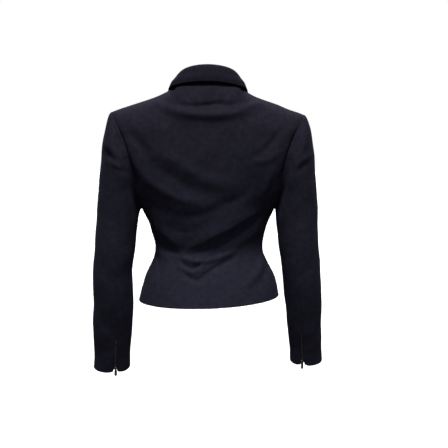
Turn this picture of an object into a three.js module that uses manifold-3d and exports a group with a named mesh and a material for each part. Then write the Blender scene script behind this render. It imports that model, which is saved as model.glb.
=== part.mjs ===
// A woman's cropped wool blazer, filled out as when it is worn, with nothing inside it.
// Millimetres, +Z up, the front faces -Y and +X is the wearer's left. The origin is midway between
// the wearer's shoulders, level with the sides of the neck.
//
// Every cut piece is a wall of cloth. A panel's outer face is worked out from a table of sections,
// its creases are pressed into that face, and the wall is that face moved inwards by the cloth.
import * as THREE from "three";
import Module from "manifold-3d";

// ---- Driving dimensions ------------------------------------------------------------------------
const CLOTH = 2.0; // wool with its lining
const SEAM = 0.3; // gap between pieces that are sewn together
const CLEAR = 0.6; // gap between layers that lie on each other
const OVERLAP = 18; // how far each front runs past the centre line
const BREAK_Z = -190; // where the lapels start to fold back
const NECK = { x: 68, y: 5, z: 27 }; // side of the neck, where the shoulder seam starts
const NAPE = { y: 62, z: 40 }; // centre back of the neck seam
const TIP = { x: 209, y: -4, z: -31 }; // end of the shoulder seam, over the pad
const SHOULDER_SAG = 5; // how far the seam dips between the neck and the pad
const BUST = { x: 86, z: -205, rise: 15, spread: 47 };

// The right front lies on the left one, and comes down to the body's own form past the overlap.
const LAP = { slack: 0.5, ease: 4, fade: 40, fadeUp: 50 };

// The collar stands on the neck seam, folds, and its leaf falls over the back and the fronts.
const COLLAR = {
  stand: 31, // height of the stand at centre back
  foldX: 61, // the fold: half its width, and where it runs at the back and at the sides
  foldBackY: 65,
  foldSideY: 1,
  foldSideZ: 51,
  leafX: 84, // the leaf's outer edge: half its width, and where it runs at the back and sides
  leafBackY: 76,
  leafBackZ: 32,
  leafSideY: 2,
  leafSideZ: 25,
  bend: 4.2, // how far the stand and the leaf stand off the fold's middle
  belly: 1.5, // how far the leaf swells between the fold and its edge
  hollow: 0.5, // how far the stand bends in between its foot and the fold
  lean: 0.015, // slope of the whole collar, which tips with the shoulders
  drift: 0.05, // how far it leans to the right for each millimetre above the neck
};
const COLLAR_POINT = { x: 99, z: -14 };

// In front the collar lies down on the roll line.
const COLLAR_FRONT = {
  top: 0.999, // height on the panel, as a share, of the shoulder seam
  inner: 0.02, // place across the panel where the cloth's direction is read
  settling: 1.4, // how fast the stand lies down towards the gorge
  tuck: 4, // how far the foot lies inside the roll line at the gorge
  foldRise: 3.6, // how high the fold stands over the foot there
  foldRun: 3.5, // and how far it lies outwards
  edgeRise: { shoulder: 6, point: 3.4 }, // how high the leaf's edge lies over the front
  notchRise: 4.4, // and how high the leaf lies beside the notch
  notchGap: { x: 1, z: 2.5 }, // from the lapel's notch to the collar
};

// A lapel, folded back from the break. The under lapel starts where it comes out from below the
// other front.
const LAPEL = {
  start: { left: 0.34, right: 0.02 },
  edgeX: 0.5, // from the roll line to the lapel's fold
  breakGap: 2,
  gorgeGap: 1,
  roll: 1.5, // how far its middle rises
  cut: 0.76, // where its outer edge starts to turn into the top edge
  notch: 0.6, // share of the top edge where the collar's notch is cut
  rows: 13,
  columns: 5,
};
const LAPEL_TIP = { x: 106, z: -40 };
const LAPEL_NOTCH = { x: 80, z: -49 };
const GORGE_V = 0.915; // height on the panel, as a share, where the collar meets the lapel

// How the sleeve leaves the armhole and comes down into the arm.
const CAP = { over: 64, under: 0.55, forward: 0.45, down: 0.95, probe: 8 };
const NOTCH = { height: 11, spread: 2.4 }; // of the cuff, below the zip
const CUFF_LIFT = { rise: 4, height: 20 }; // the cuff's edge rises beside the notch

const ZIP = { length: 82, width: 5.2, thick: 1.2, sink: 0.5, clear: 0.03, end: 3 };
const SLIDER = {
  width: 6.4,
  length: 8.5,
  thick: 1.6,
  ear: 1.0, // the two ears that hold the pin: thickness and length
  earLength: 2.4,
  pinHeight: 2.7,
  pinRadius: 0.6,
  seat: 0.35, // gap to the zip below it
  past: 2, // how far it runs past the zip's end
};
const PULL = {
  eye: 1.6, // the ring round the pin: outer radius, play on the pin, and its length
  play: 0.35,
  neck: 3.6,
  width: 5.6, // the tab
  length: 19,
  thick: 1.3,
  shoulder: 4, // where the tab reaches its full width
  stem: 4, // length of the stem between the ring and the tab, and their overlap
  lap: 0.3,
  drop: 3.5, // from the pin to the tab's upper end
};

const BUTTON = {
  radius: 10,
  thick: 3.6,
  heights: [-206, -277, -348],
  dish: 1, // depth of the middle below the rim
  rim: 1.2, // slopes of the rim, outwards and inwards
  rimInside: 3,
  chamfer: 1.5, // under the edge
};

// ---- Grids --------------------------------------------------------------------------------------
const BACK_COLUMNS = 13;
const NECK_COLUMN = 5; // the column of the back that ends at the side of the neck
const FRONT_COLUMNS = 10;
const SKIRT_ROWS = 14; // from the hem to the armpit
const ARMHOLE_ROWS = 12; // from the armpit to the shoulder seam
const CAP_ROWS = 8;
const ARM_ROWS = 10; // from the cap to the top of the zip
const ARM_COLUMNS = 2 * ARMHOLE_ROWS;
const BACK_SEAM_COLUMN = 7; // sleeve seams, counted from the top of the sleeve round the back
const FRONT_SEAM_COLUMN = 17;
const SEAM_ROWS = 3; // rows over which the creases start below the armhole

// Rows at the cuff, from its edge: closer ones where the zip starts and where the notch is cut.
const CUFF_ROWS = [
  ZIP.length - ZIP.end,
  ZIP.length * 0.62,
  ZIP.length * 0.34,
  NOTCH.height,
  5,
  0,
];
const ROW_COUNT = CAP_ROWS + ARM_ROWS + CUFF_ROWS.length;
const ZIP_FIRST_ROW = CAP_ROWS + ARM_ROWS + 1;
const ZIP_LAST_ROW = ROW_COUNT - 2;

// Stations of the collar from its point round to centre back, and places along its section.
const COLLAR_STATIONS = [2, 1.88, 1.76, 1.62, 1.46, 1.3, 1.15, 1, 0.86, 0.72, 0.58, 0.44, 0.3, 0.15];
const COLLAR_PLACES = [0, 1, 2, 2.5, 3, 3.5, 4, 4.5, 5, 5.5, 6];

const BUTTON_SIDES = 20;
const PIN_SIDES = 10;
const RING_SIDES = 8;
const TAB_SIDES = 6;

// Small steps along a panel, as shares of it, with which its directions are read.
const NORMAL_STEP = 0.01;
const RISE_STEP = 0.004;
const SEARCH = { u: 0.3, v: 0.8, rounds: 40, step: 0.002, pace: 0.7, last: 0.99 };

// ---- Tables -------------------------------------------------------------------------------------
const table = (columns, rows) => {
  const names = columns.trim().split(/\s+/);
  return rows.map((row) => Object.fromEntries(names.map((name, i) => [name, row[i]])));
};

// Sections of the body, from the hem to the top of the armhole. The centre lines come first, then
// the edge, which is the side seam up to the armpit and the armhole above it. sweep is the angle
// that a section turns through from the centre line to its edge, lean how far it tips to the left
// and shift how far the body hangs to the left there.
const BODY_COLUMNS =
  "v backY backZ frontY frontZ edgeX edgeBackY edgeFrontY edgeZ sweep lean shift";
const BODY = table(BODY_COLUMNS, [
  [0.0, 112, -444, -119, -439, 154, -2, -2, -435, 90, -0.036, -1.5], // hem
  [0.12, 97, -395, -118, -391, 143, -3, -3, -388, 90, -0.025, -2.5],
  [0.27, 71, -331, -110, -331, 118.5, -4, -4, -331, 90, 0, -2], // waist
  [0.39, 80, -282, -112, -283, 126.5, -3, -3, -281, 90, 0, -0.5],
  [0.5, 93, -236, -118, -238, 145, 0, 0, -239, 90, 0, 0], // armpit
  [0.565, 98, -203, -119, -208, 156, 34, -32, -207, 80, 0, 0],
  [0.65, 102, -158, -113, -164, 164, 57, -52, -162, 74, 0.004, 0],
  [0.73, 102, -114, -103, -124, 174, 63, -56, -116, 70, 0.01, 0], // shoulder blades
  [0.8, 97, -72, -89, -87, 189, 54, -48, -75, 68, 0.015, 0],
]);
const ARMPIT_V = BODY[4].v;
const YOKE_V = BODY[BODY.length - 1].v;

// The yoke above those sections: how much of its width climbs the neck, and the direction in which
// it reaches its top edge there and on the shoulder.
const NECK_SHARE = { back: NECK_COLUMN / BACK_COLUMNS, front: 0.25 };
const YOKE_END = { neck: { y: 0.6, z: 0.8 }, shoulder: { y: 1, z: 0.05 } };

// Sections of a sleeve from the upper arm to the cuff: centre, half widths, and how far the section
// tips so that its back is the lower side. left and right differ as the arms do.
const ARM = {
  left: table("z x y halfX halfY tip", [
    [-262, 199, 3, 46, 59, 4],
    [-318, 204, 6, 45, 55, 3],
    [-374, 210, 5, 43, 51, 4], // elbow
    [-436, 210, -5, 44.5, 47, 9],
    [-497, 213, -20, 44, 44, 13],
    [-554, 216.5, -37, 41, 41, 13],
    [-600, 218.5, -49, 41, 40, 13], // cuff
  ]),
  right: table("z x y halfX halfY tip", [
    [-262, 195, 3, 46, 59, 4],
    [-318, 199, 6, 44, 55, 3],
    [-374, 205, 5, 42, 51, 4],
    [-436, 210, -5, 41.5, 46, 9],
    [-497, 214, -20, 38, 42, 13],
    [-545, 217.5, -34, 36.5, 38, 13],
    [-584, 220, -44, 36.5, 37, 13],
  ]),
};

// A lapel's outer edge, s from the break to the tip.
const LAPEL_EDGE = table("s x z", [
  [0, -14, BREAK_Z + 4],
  [0.25, 33, -154],
  [0.5, 66, -112],
  [0.8, 95, -66],
  [1, LAPEL_TIP.x, LAPEL_TIP.z],
]);

// Creases, as they lie seen straight from behind or in front: from x0, z0 to x1, z1, bowed sideways
// by bow, rise high (negative in a trough) and spread wide.
const CREASES = {
  back: table("x0 z0 x1 z1 bow rise spread", [
    [104, 4, -116, -4, -24, 3.5, 15], // under the collar
    [140, -62, 60, -124, -6, -3, 17],
    [122, -118, -72, -212, -8, -5, 15], // from the left shoulder blade
    [170, -128, 10, -226, -12, 5, 16],
    [122, -196, -18, -252, -12, -4.5, 13],
    [84, -292, -92, -232, -14, 5, 14],
    [-128, -246, 52, -336, -8, -8.5, 12], // the long fold to the right armpit
    [128, -280, 54, -332, -6, -6.5, 12],
    [44, -346, -58, -322, -8, 4, 11],
    [-84, -328, 60, -378, -8, -6, 11], // lowest fold at the small of the back
    [-120, -340, -78, -405, 6, 3.5, 11],
    [112, -340, 98, -410, -4, 3, 11],
    [222, -116, 170, -142, -4, -4, 11], // sleeves
    [-228, -116, -172, -164, 4, -4.5, 11],
    [196, -240, 178, -330, 5, -2, 11],
    [-190, -236, -174, -326, -5, -2, 11],
  ]),
  front: table("x0 z0 x1 z1 bow rise spread", [
    [96, -236, 24, -276, -5, -3.5, 12],
    [-96, -240, -24, -278, -5, -3.5, 12],
    [110, -318, 20, -350, -7, -4.5, 12],
    [-112, -322, -22, -350, -7, -4, 12],
    [150, -200, 104, -176, 5, -3, 11],
    [-150, -198, -106, -178, -5, -3, 11],
    [170, -360, 246, -346, -6, -4.5, 11], // sleeves
    [-168, -358, -246, -344, -6, -4.5, 11],
    [172, -392, 240, -380, -5, -3, 11],
    [-172, -390, -240, -378, -5, -3, 11],
    [226, -104, 176, -150, -5, -4, 11],
    [-226, -104, -176, -150, 5, -4, 11],
  ]),
};
const CREASE_FACING = 1.6; // how soon a crease fades out where the cloth turns away
const CREASE_ENDS = 0.8; // how full a crease is towards its ends

// ---- Curves and shapes --------------------------------------------------------------------------
const vector = (x, y, z) => new THREE.Vector3(x, y, z);
const mix = THREE.MathUtils.lerp;
const radians = THREE.MathUtils.degToRad;
const clamp = THREE.MathUtils.clamp;
const ease = (t) => THREE.MathUtils.smoothstep(t, 0, 1);
const steps = (count) => Array.from({ length: count + 1 }, (_, i) => i / count);
const lastOf = (list) => list[list.length - 1];
const quarter = Math.PI / 2;

// A cubic from a to b, with the slopes at both ends.
const cubic = (a, slopeA, b, slopeB, t) =>
  (2 * t ** 3 - 3 * t ** 2 + 1) * a +
  (t ** 3 - 2 * t ** 2 + t) * slopeA +
  (3 * t ** 2 - 2 * t ** 3) * b +
  (t ** 3 - t ** 2) * slopeB;
const cubicVector = (a, slopeA, b, slopeB, t) =>
  vector(
    cubic(a.x, slopeA.x, b.x, slopeB.x, t),
    cubic(a.y, slopeA.y, b.y, slopeB.y, t),
    cubic(a.z, slopeA.z, b.z, slopeB.z, t),
  );

// The row of a table at any value of its key column, on a smooth curve through its rows.
function rowAt(rows, key, at) {
  const rising = rows[1][key] > rows[0][key];
  const last = rows.length - 2;
  let i = 0;
  while (i < last && (rising ? at > rows[i + 1][key] : at < rows[i + 1][key])) i += 1;
  const span = rows[i + 1][key] - rows[i][key];
  const slope = (k, name) => {
    const low = rows[Math.max(k - 1, 0)];
    const high = rows[Math.min(k + 1, rows.length - 1)];
    return ((high[name] - low[name]) / (high[key] - low[key])) * span;
  };
  const t = (at - rows[i][key]) / span;
  const found = {};
  for (const name of Object.keys(rows[0])) {
    const [low, high] = [rows[i][name], rows[i + 1][name]];
    found[name] = cubic(low, slope(i, name), high, slope(i + 1, name), t);
  }
  return found;
}

// How far one crease moves the cloth outwards at x, z.
function creaseHeight(crease, x, z) {
  const length = Math.hypot(crease.x1 - crease.x0, crease.z1 - crease.z0);
  const alongX = (crease.x1 - crease.x0) / length;
  const alongZ = (crease.z1 - crease.z0) / length;
  const t = ((x - crease.x0) * alongX + (z - crease.z0) * alongZ) / length;
  if (t <= 0 || t >= 1) return 0;
  const across = (z - crease.z0) * alongX - (x - crease.x0) * alongZ;
  const bowed = Math.sign(alongX || 1) * across - crease.bow * 4 * t * (1 - t);
  const ends = Math.sin(Math.PI * t) ** CREASE_ENDS;
  return crease.rise * ends * Math.exp(-((bowed / crease.spread) ** 2));
}

// How far the creases move a point of the cloth outwards, where normalY says which way it faces.
function creaseRise(x, z, normalY) {
  let rise = 0;
  for (const side of ["back", "front"]) {
    const facing = ease((side === "back" ? normalY : -normalY) * CREASE_FACING);
    if (facing > 0) for (const crease of CREASES[side]) rise += facing * creaseHeight(crease, x, z);
  }
  return rise;
}

// ---- The body's form ----------------------------------------------------------------------------
// How far a front's inner edge lies from the centre line: past it up to the break of the lapel, and
// then along the roll line to the side of the neck.
function innerEdgeX(face, z) {
  if (face === "back") return SEAM / 2;
  return mix(-OVERLAP, NECK.x, clamp((z - BREAK_Z) / (NECK.z - BREAK_Z), 0, 1));
}

// Where the two roll lines cross, on the centre line.
const ROLL_CROSSING_Z = mix(BREAK_Z, NECK.z, OVERLAP / (OVERLAP + NECK.x));

// At a seam both pieces' walls are square to it, so that they meet face to face.
function squareToSeam(normal, face, u, v) {
  if (face === "back" && u === 0) normal.x = 0;
  if (v === 1 && (face === "front" || u >= NECK_SHARE.back)) normal.y = 0;
  if (u === 1 && v <= ARMPIT_V) normal.y = 0;
  return normal.normalize();
}

// A front swells over the bust.
function overBust(p) {
  for (const x of [-BUST.x, BUST.x]) {
    const off = ((p.x - x) ** 2 + (p.z - BUST.z) ** 2) / (2 * BUST.spread ** 2);
    p.y -= BUST.rise * Math.exp(-off);
  }
  return p;
}

// A point of a section below the yoke, u from the centre line or inner edge to the outer edge.
function sectionPoint(face, u, v) {
  const row = rowAt(BODY, "v", v);
  const back = face === "back";
  const centreY = back ? row.backY : row.frontY;
  const centreZ = back ? row.backZ : row.frontZ;
  const seamY = (row.edgeBackY + row.edgeFrontY) / 2;
  const armholeY = back ? row.edgeBackY : row.edgeFrontY;
  const edgeY = v <= ARMPIT_V ? seamY : armholeY;
  const sweep = radians(Math.min(row.sweep, 90));
  const start = Math.asin((innerEdgeX(face, centreZ) / row.edgeX) * Math.sin(sweep));
  const turn = mix(start, sweep, u);
  const share = (Math.cos(turn) - Math.cos(sweep)) / (1 - Math.cos(sweep));
  const p = vector(
    (row.edgeX * Math.sin(turn)) / Math.sin(sweep),
    mix(edgeY, centreY, share),
    mix(row.edgeZ, centreZ, share),
  );
  return back ? p : overBust(p);
}

// The shoulder seam, k from the side of the neck to the tip of the shoulder.
const shoulderPoint = (k) =>
  vector(
    mix(NECK.x, TIP.x, k),
    mix(NECK.y, TIP.y, k),
    mix(NECK.z, TIP.z, k) - SHOULDER_SAG * Math.sin(Math.PI * (1 - k) ** 2),
  );

// The back's neck seam, k from the nape to the side of the neck.
const neckPoint = (k) =>
  vector(
    Math.max(NECK.x * Math.sin(k * quarter), SEAM / 2),
    mix(NECK.y, NAPE.y, Math.cos(k * quarter)),
    mix(NAPE.z, NECK.z, k ** 2),
  );

// The panel's top edge: neck seam and shoulder seam on a back, shoulder seam on a front.
function topPoint(face, u) {
  if (face === "front") return shoulderPoint(u).add(vector(0, -SEAM / 2, 0));
  const corner = NECK_SHARE.back;
  if (u < corner) return neckPoint(u / corner);
  return shoulderPoint((u - corner) / (1 - corner)).add(vector(0, SEAM / 2, 0));
}

// The body's outer face for the wearer's left, before creases: u across, v from the hem to the top.
function bodyForm(face, u, v) {
  if (v <= YOKE_V) return sectionPoint(face, u, v);
  const low = sectionPoint(face, u, YOKE_V);
  const top = topPoint(face, u);
  const chord = top.distanceTo(low);
  const rising = low.clone().sub(sectionPoint(face, u, YOKE_V - RISE_STEP)).setLength(chord);
  const towards = face === "back" ? -1 : 1;
  const level = ease(u / NECK_SHARE[face]); // 0 where the cloth climbs the neck
  const { neck, shoulder } = YOKE_END;
  const ending = vector(0, towards * mix(neck.y, shoulder.y, level), mix(neck.z, shoulder.z, level));
  return cubicVector(low, rising, top, ending.setLength(chord), (v - YOKE_V) / (1 - YOKE_V));
}

// The same on either side, leaning as worn.
function placedForm(face, side, u, v) {
  const p = bodyForm(face, u, v);
  const { lean, shift } = rowAt(BODY, "v", Math.min(v, YOKE_V));
  p.x *= side;
  p.z += lean * p.x;
  p.x += shift;
  return p;
}

// Turns the cross product of a panel's two directions out of the garment.
const panelSign = (face, side) => (face === "back" ? -side : side);

// The outward direction at u, v of a panel whose points come from pointAt.
function outwardsAt(pointAt, sign, u, v) {
  const step = NORMAL_STEP;
  const across = pointAt(Math.min(u + step, 1), v).sub(pointAt(Math.max(u - step, 0), v));
  const up = pointAt(u, Math.min(v + step, 1)).sub(pointAt(u, Math.max(v - step, 0)));
  return across.cross(up).normalize().multiplyScalar(sign);
}

// How far the right front stands over the left one.
function lapRise(p) {
  const across = 1 - ease((Math.abs(p.x) - OVERLAP - LAP.ease) / LAP.fade);
  const up = 1 - ease((p.z - ROLL_CROSSING_Z) / LAP.fadeUp);
  return (CLOTH + CLEAR + LAP.slack) * across * up;
}

// A point of a panel's outer face, with its creases and the right front's place on top.
function bodyPoint(face, side, u, v) {
  const here = placedForm(face, side, u, v);
  const formAt = (uu, vv) => placedForm(face, side, uu, vv);
  const normal = outwardsAt(formAt, panelSign(face, side), u, v);
  squareToSeam(normal, face, u, v);
  const lap = face === "front" && side < 0 ? lapRise(here) : 0;
  return here.addScaledVector(normal, creaseRise(here.x, here.z, normal.y) + lap);
}

const frontNormal = (side, u, v) =>
  outwardsAt((uu, vv) => bodyPoint("front", side, uu, vv), panelSign("front", side), u, v);

// Where on a front a point seen from in front lies, as u and v.
function frontPlace(x, z) {
  const { rounds, step, pace, last } = SEARCH;
  let { u, v } = SEARCH;
  for (let i = 0; i < rounds; i += 1) {
    const p = bodyForm("front", u, v);
    const du = bodyForm("front", u + step, v).sub(p).divideScalar(step);
    const dv = bodyForm("front", u, v + step).sub(p).divideScalar(step);
    const det = du.x * dv.z - du.z * dv.x;
    const missX = x - p.x;
    const missZ = z - p.z;
    u = clamp(u + (pace * (missX * dv.z - missZ * dv.x)) / det, 0, last);
    v = clamp(v + (pace * (du.x * missZ - du.z * missX)) / det, 0, last);
  }
  return { u, v };
}

// ---- Cloth walls --------------------------------------------------------------------------------
// Normals of a grid of points, turned by sign so that they point out of the garment.
function gridNormals(grid, sign) {
  const rows = grid.length - 1;
  const columns = grid[0].length - 1;
  return grid.map((line, i) =>
    line.map((_, j) => {
      const across = line[Math.min(j + 1, columns)].clone().sub(line[Math.max(j - 1, 0)]);
      const up = grid[Math.min(i + 1, rows)][j].clone().sub(grid[Math.max(i - 1, 0)][j]);
      return across.cross(up).normalize().multiplyScalar(sign);
    }),
  );
}

// A closed wall: the grid is its outer face, and the inner face lies thick inside it.
function wall(grid, sign, thick = CLOTH, normals = gridNormals(grid, sign)) {
  const rows = grid.length;
  const columns = grid[0].length;
  const points = [];
  for (const depth of [0, thick])
    grid.forEach((line, i) =>
      line.forEach((p, j) => points.push(p.clone().addScaledVector(normals[i][j], -depth))),
    );
  const index = [];
  const outer = (i, j) => i * columns + j;
  const inner = (i, j) => rows * columns + outer(i, j);
  const quad = (a, b, c, d) =>
    index.push(...(sign > 0 ? [a, b, c, a, c, d] : [a, c, b, a, d, c]));
  for (let i = 0; i < rows - 1; i += 1)
    for (let j = 0; j < columns - 1; j += 1) {
      quad(outer(i, j), outer(i, j + 1), outer(i + 1, j + 1), outer(i + 1, j));
      quad(inner(i, j), inner(i + 1, j), inner(i + 1, j + 1), inner(i, j + 1));
    }
  const [top, side] = [rows - 1, columns - 1];
  for (let i = 0; i < top; i += 1) {
    quad(outer(i, 0), outer(i + 1, 0), inner(i + 1, 0), inner(i, 0));
    quad(outer(i, side), inner(i, side), inner(i + 1, side), outer(i + 1, side));
  }
  for (let j = 0; j < side; j += 1) {
    quad(outer(0, j), inner(0, j), inner(0, j + 1), outer(0, j + 1));
    quad(outer(top, j), outer(top, j + 1), inner(top, j + 1), inner(top, j));
  }
  const geometry = new THREE.BufferGeometry().setFromPoints(points);
  geometry.setIndex(index);
  return geometry;
}

// The rows of a body panel, as shares of its height: the same on a front and a back, so that the
// armhole's points are the sleeve's first points.
const PANEL_ROWS = [
  ...steps(SKIRT_ROWS).map((t) => t * ARMPIT_V),
  ...steps(ARMHOLE_ROWS).slice(1).map((t) => mix(ARMPIT_V, 1, t)),
];
const ARMHOLE_LEAN = 0.05; // the least that an armhole's wall leans away from the sleeve

function panelWall(face, side) {
  const columns = face === "back" ? BACK_COLUMNS : FRONT_COLUMNS;
  const grid = PANEL_ROWS.map((v) => steps(columns).map((u) => bodyPoint(face, side, u, v)));
  // The side seam's gap is taken from both panels.
  const shift = face === "back" ? SEAM / 2 : -SEAM / 2;
  grid.slice(0, SKIRT_ROWS + 1).forEach((line) => {
    lastOf(line).y += shift;
  });
  const sign = panelSign(face, side);
  const normals = gridNormals(grid, sign);
  normals.forEach((line, i) =>
    line.forEach((n, j) => squareToSeam(n, face, j / columns, PANEL_ROWS[i])),
  );
  // At the armhole the wall never leans towards the sleeve.
  normals.slice(SKIRT_ROWS).forEach((line) => {
    lastOf(line).x = side * Math.max(side * lastOf(line).x, ARMHOLE_LEAN);
  });
  return wall(grid, sign, CLOTH, normals);
}

// ---- Sleeves ------------------------------------------------------------------------------------
const ARMHOLE_GAP = 0.4; // between the body's edge and the sleeve

// The armhole from the tip of the shoulder down the back to the armpit and up the front.
function armholePoints(side) {
  const rows = PANEL_ROWS.slice(SKIRT_ROWS);
  const back = rows.map((v) => bodyPoint("back", side, 1, v)).reverse();
  const front = rows.map((v) => bodyPoint("front", side, 1, v));
  back[0].lerp(lastOf(front), 0.5);
  const around = [...back, ...front.slice(1, -1)];
  return around.map((p) => p.add(vector(side * ARMHOLE_GAP, 0, 0)));
}

const columnAngle = (column) => (2 * Math.PI * column) / ARM_COLUMNS;

function armPoint(name, side, angle, z) {
  const row = rowAt(ARM[name], "z", z);
  const back = row.halfY * Math.sin(angle);
  const tip = radians(row.tip);
  return vector(
    side * (row.x + row.halfX * Math.cos(angle)),
    row.y + back * Math.cos(tip),
    z - back * Math.sin(tip),
  );
}

// Half the gap at a sleeve's back seam: the zip's slot, which spreads into a notch at the edge.
function seamGap(row) {
  if (row < ZIP_FIRST_ROW) return SEAM / 2;
  const fromEdge = CUFF_ROWS[row - ZIP_FIRST_ROW];
  return ZIP.width / 2 + SEAM + NOTCH.spread * Math.max(0, 1 - fromEdge / NOTCH.height) ** 2;
}

// A row of the cap, from the armhole to the first row of the arm.
function capRow(name, side, armhole, row) {
  const { z } = ARM[name][0];
  return armhole.map((start, column) => {
    const angle = columnAngle(column);
    const end = armPoint(name, side, angle, z);
    const away = start.distanceTo(end);
    const down = armPoint(name, side, angle, z - CAP.probe).sub(end).setLength(away * CAP.down);
    const upper = ((1 + Math.cos(angle)) / 2) ** 2;
    const outwards = vector(side, CAP.forward * Math.sin(angle), 0);
    outwards.setLength(mix(away * CAP.under, CAP.over, upper));
    return cubicVector(start, outwards, end, down, row / CAP_ROWS);
  });
}

// A row of the arm, lifted beside the zip where it is the cuff's edge.
function armRow(name, side, row) {
  const top = ARM[name][0].z;
  const cuff = lastOf(ARM[name]).z;
  const belowZip = row >= ZIP_FIRST_ROW;
  const fromEdge = belowZip ? CUFF_ROWS[row - ZIP_FIRST_ROW] : ZIP.length;
  const z = belowZip ? cuff + fromEdge : mix(top, cuff + ZIP.length, (row - CAP_ROWS) / ARM_ROWS);
  return steps(ARM_COLUMNS).slice(1).map((_, column) => {
    const beside = Math.exp(-((column - BACK_SEAM_COLUMN) ** 2));
    const lift = CUFF_LIFT.rise * beside * Math.max(0, 1 - fromEdge / CUFF_LIFT.height);
    return armPoint(name, side, columnAngle(column), z).add(vector(0, 0, lift));
  });
}

// Normals of a closed ring of columns.
function tubeNormals(grid, sign) {
  const wrapped = grid.map((line) => [lastOf(line), ...line, line[0]]);
  return gridNormals(wrapped, sign).map((line) => line.slice(1, -1));
}

// A sleeve's outer face, all round, with its creases pressed in, and its normals.
function sleeveTube(name, side, armhole) {
  const grid = steps(ROW_COUNT).map((_, row) =>
    row < CAP_ROWS ? capRow(name, side, armhole, row) : armRow(name, side, row),
  );
  const facing = tubeNormals(grid, -side);
  grid.forEach((line, row) => {
    const started = ease(row / SEAM_ROWS); // the seam to the body stays where the body's edge is
    line.forEach((p, j) => {
      const normal = facing[row][j];
      p.addScaledVector(normal, creaseRise(p.x, p.z, normal.y) * started);
    });
  });
  const normals = tubeNormals(grid, -side);
  normals[0].forEach((n) => n.setX(0).normalize());
  return { grid, normals };
}

// Moves the point at one end of a line towards the next one by gap.
function trim(line, end, next, gap) {
  line[end].lerp(line[next], gap / line[end].distanceTo(line[next]));
}

// One half of a sleeve, between its two seams. The top sleeve runs over the outside of the arm,
// the under sleeve along the body.
function sleeveWall({ grid, normals }, side, half) {
  const under = half === "under";
  const from = under ? BACK_SEAM_COLUMN : FRONT_SEAM_COLUMN;
  const to = under ? FRONT_SEAM_COLUMN : BACK_SEAM_COLUMN + ARM_COLUMNS;
  const pick = (line) => steps(to - from).map((_, k) => line[(from + k) % ARM_COLUMNS].clone());
  const cut = grid.map(pick);
  cut.forEach((line, row) => {
    const last = line.length - 1;
    trim(line, 0, 1, under ? seamGap(row) : SEAM / 2);
    trim(line, last, last - 1, under ? SEAM / 2 : seamGap(row));
  });
  return wall(cut, -side, CLOTH, normals.map(pick));
}

// ---- Zips at the cuffs --------------------------------------------------------------------------
// The strip of tape and teeth that fills the slot at the cuff, just below the cloth's face.
function zipGrid({ grid, normals }) {
  const rows = [];
  for (let row = ZIP_FIRST_ROW; row <= ZIP_LAST_ROW; row += 1) {
    const [before, middle, after] = [-1, 0, 1].map((k) => grid[row][BACK_SEAM_COLUMN + k]);
    const towards = (p) => middle.clone().lerp(p, ZIP.width / 2 / middle.distanceTo(p));
    const sink = normals[row][BACK_SEAM_COLUMN].clone().multiplyScalar(-ZIP.sink);
    rows.push([towards(before), middle.clone(), towards(after)].map((p) => p.add(sink)));
  }
  rows[0].forEach((p, j) => p.lerp(rows[1][j], ZIP.clear)); // clear of the slot's upper end
  return rows;
}

// ---- Lapels -------------------------------------------------------------------------------------
// Rows from the break to the gorge, each from the roll line to the lapel's outer edge.
function lapelGrid(name, side) {
  const gorgeZ = bodyForm("front", 0, GORGE_V).z - LAPEL.gorgeGap;
  const inner = (s) => {
    const z = mix(BREAK_Z + LAPEL.breakGap, gorgeZ, s);
    return { x: innerEdgeX("front", z) + LAPEL.edgeX, z };
  };
  const between = (from, to, t) => ({ x: mix(from.x, to.x, t), z: mix(from.z, to.z, t) });
  const topEdge = (k) =>
    k < LAPEL.notch
      ? between(inner(1), LAPEL_NOTCH, k / LAPEL.notch)
      : between(LAPEL_NOTCH, LAPEL_TIP, (k - LAPEL.notch) / (1 - LAPEL.notch));
  const straight = (k) => between(inner(1), LAPEL_TIP, k);
  return steps(LAPEL.rows).map((share) => {
    const s = mix(LAPEL.start[name], 1, share);
    const edge = rowAt(LAPEL_EDGE, "s", s);
    const cut = ease((s - LAPEL.cut) / (1 - LAPEL.cut));
    return steps(LAPEL.columns).map((k) => {
      const p = between(inner(s), edge, k);
      const x = p.x + cut * (topEdge(k).x - straight(k).x);
      const z = p.z + cut * (topEdge(k).z - straight(k).z);
      const { u, v } = frontPlace(x, z);
      const rise = CLOTH + CLEAR + LAPEL.roll * Math.sin(Math.PI * k);
      return bodyPoint("front", side, u, v).addScaledVector(frontNormal(side, u, v), rise);
    });
  });
}

// ---- Collar -------------------------------------------------------------------------------------
// The collar's section at a station round the neck: 0 at centre back, 1 over the shoulder seam and
// 2 at the collar's point. It runs from the neck seam up the stand, over the fold and down the leaf.
const LEAF_MIDDLE = 0.55; // share of the way from the fold to the leaf's edge

// Behind the shoulder seams the collar stands on the neck seam and its leaf falls over the back.
function backCollar(round) {
  const [aside, behind] = [Math.sin(round), Math.cos(round)];
  const outwards = vector(aside, behind, 0);
  const foot = neckPoint(round / quarter).addScaledVector(outwards, -CLOTH);
  foot.z += SEAM;
  const fold = vector(
    COLLAR.foldX * aside,
    mix(COLLAR.foldSideY, COLLAR.foldBackY, behind),
    mix(COLLAR.foldSideZ, NAPE.z + COLLAR.stand, behind),
  );
  const edge = vector(
    COLLAR.leafX * aside,
    mix(COLLAR.leafSideY, COLLAR.leafBackY, behind),
    mix(COLLAR.leafSideZ, COLLAR.leafBackZ, behind ** 2),
  );
  const leaf = fold.clone().lerp(edge, LEAF_MIDDLE).addScaledVector(outwards, COLLAR.belly);
  return { foot, fold, leaf, edge, outwards, above: vector(0, 0, 1) };
}

// A point that stands rise over a front.
const overFront = (u, v, rise) =>
  bodyForm("front", u, v).addScaledVector(frontNormal(1, u, v), rise);

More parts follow.
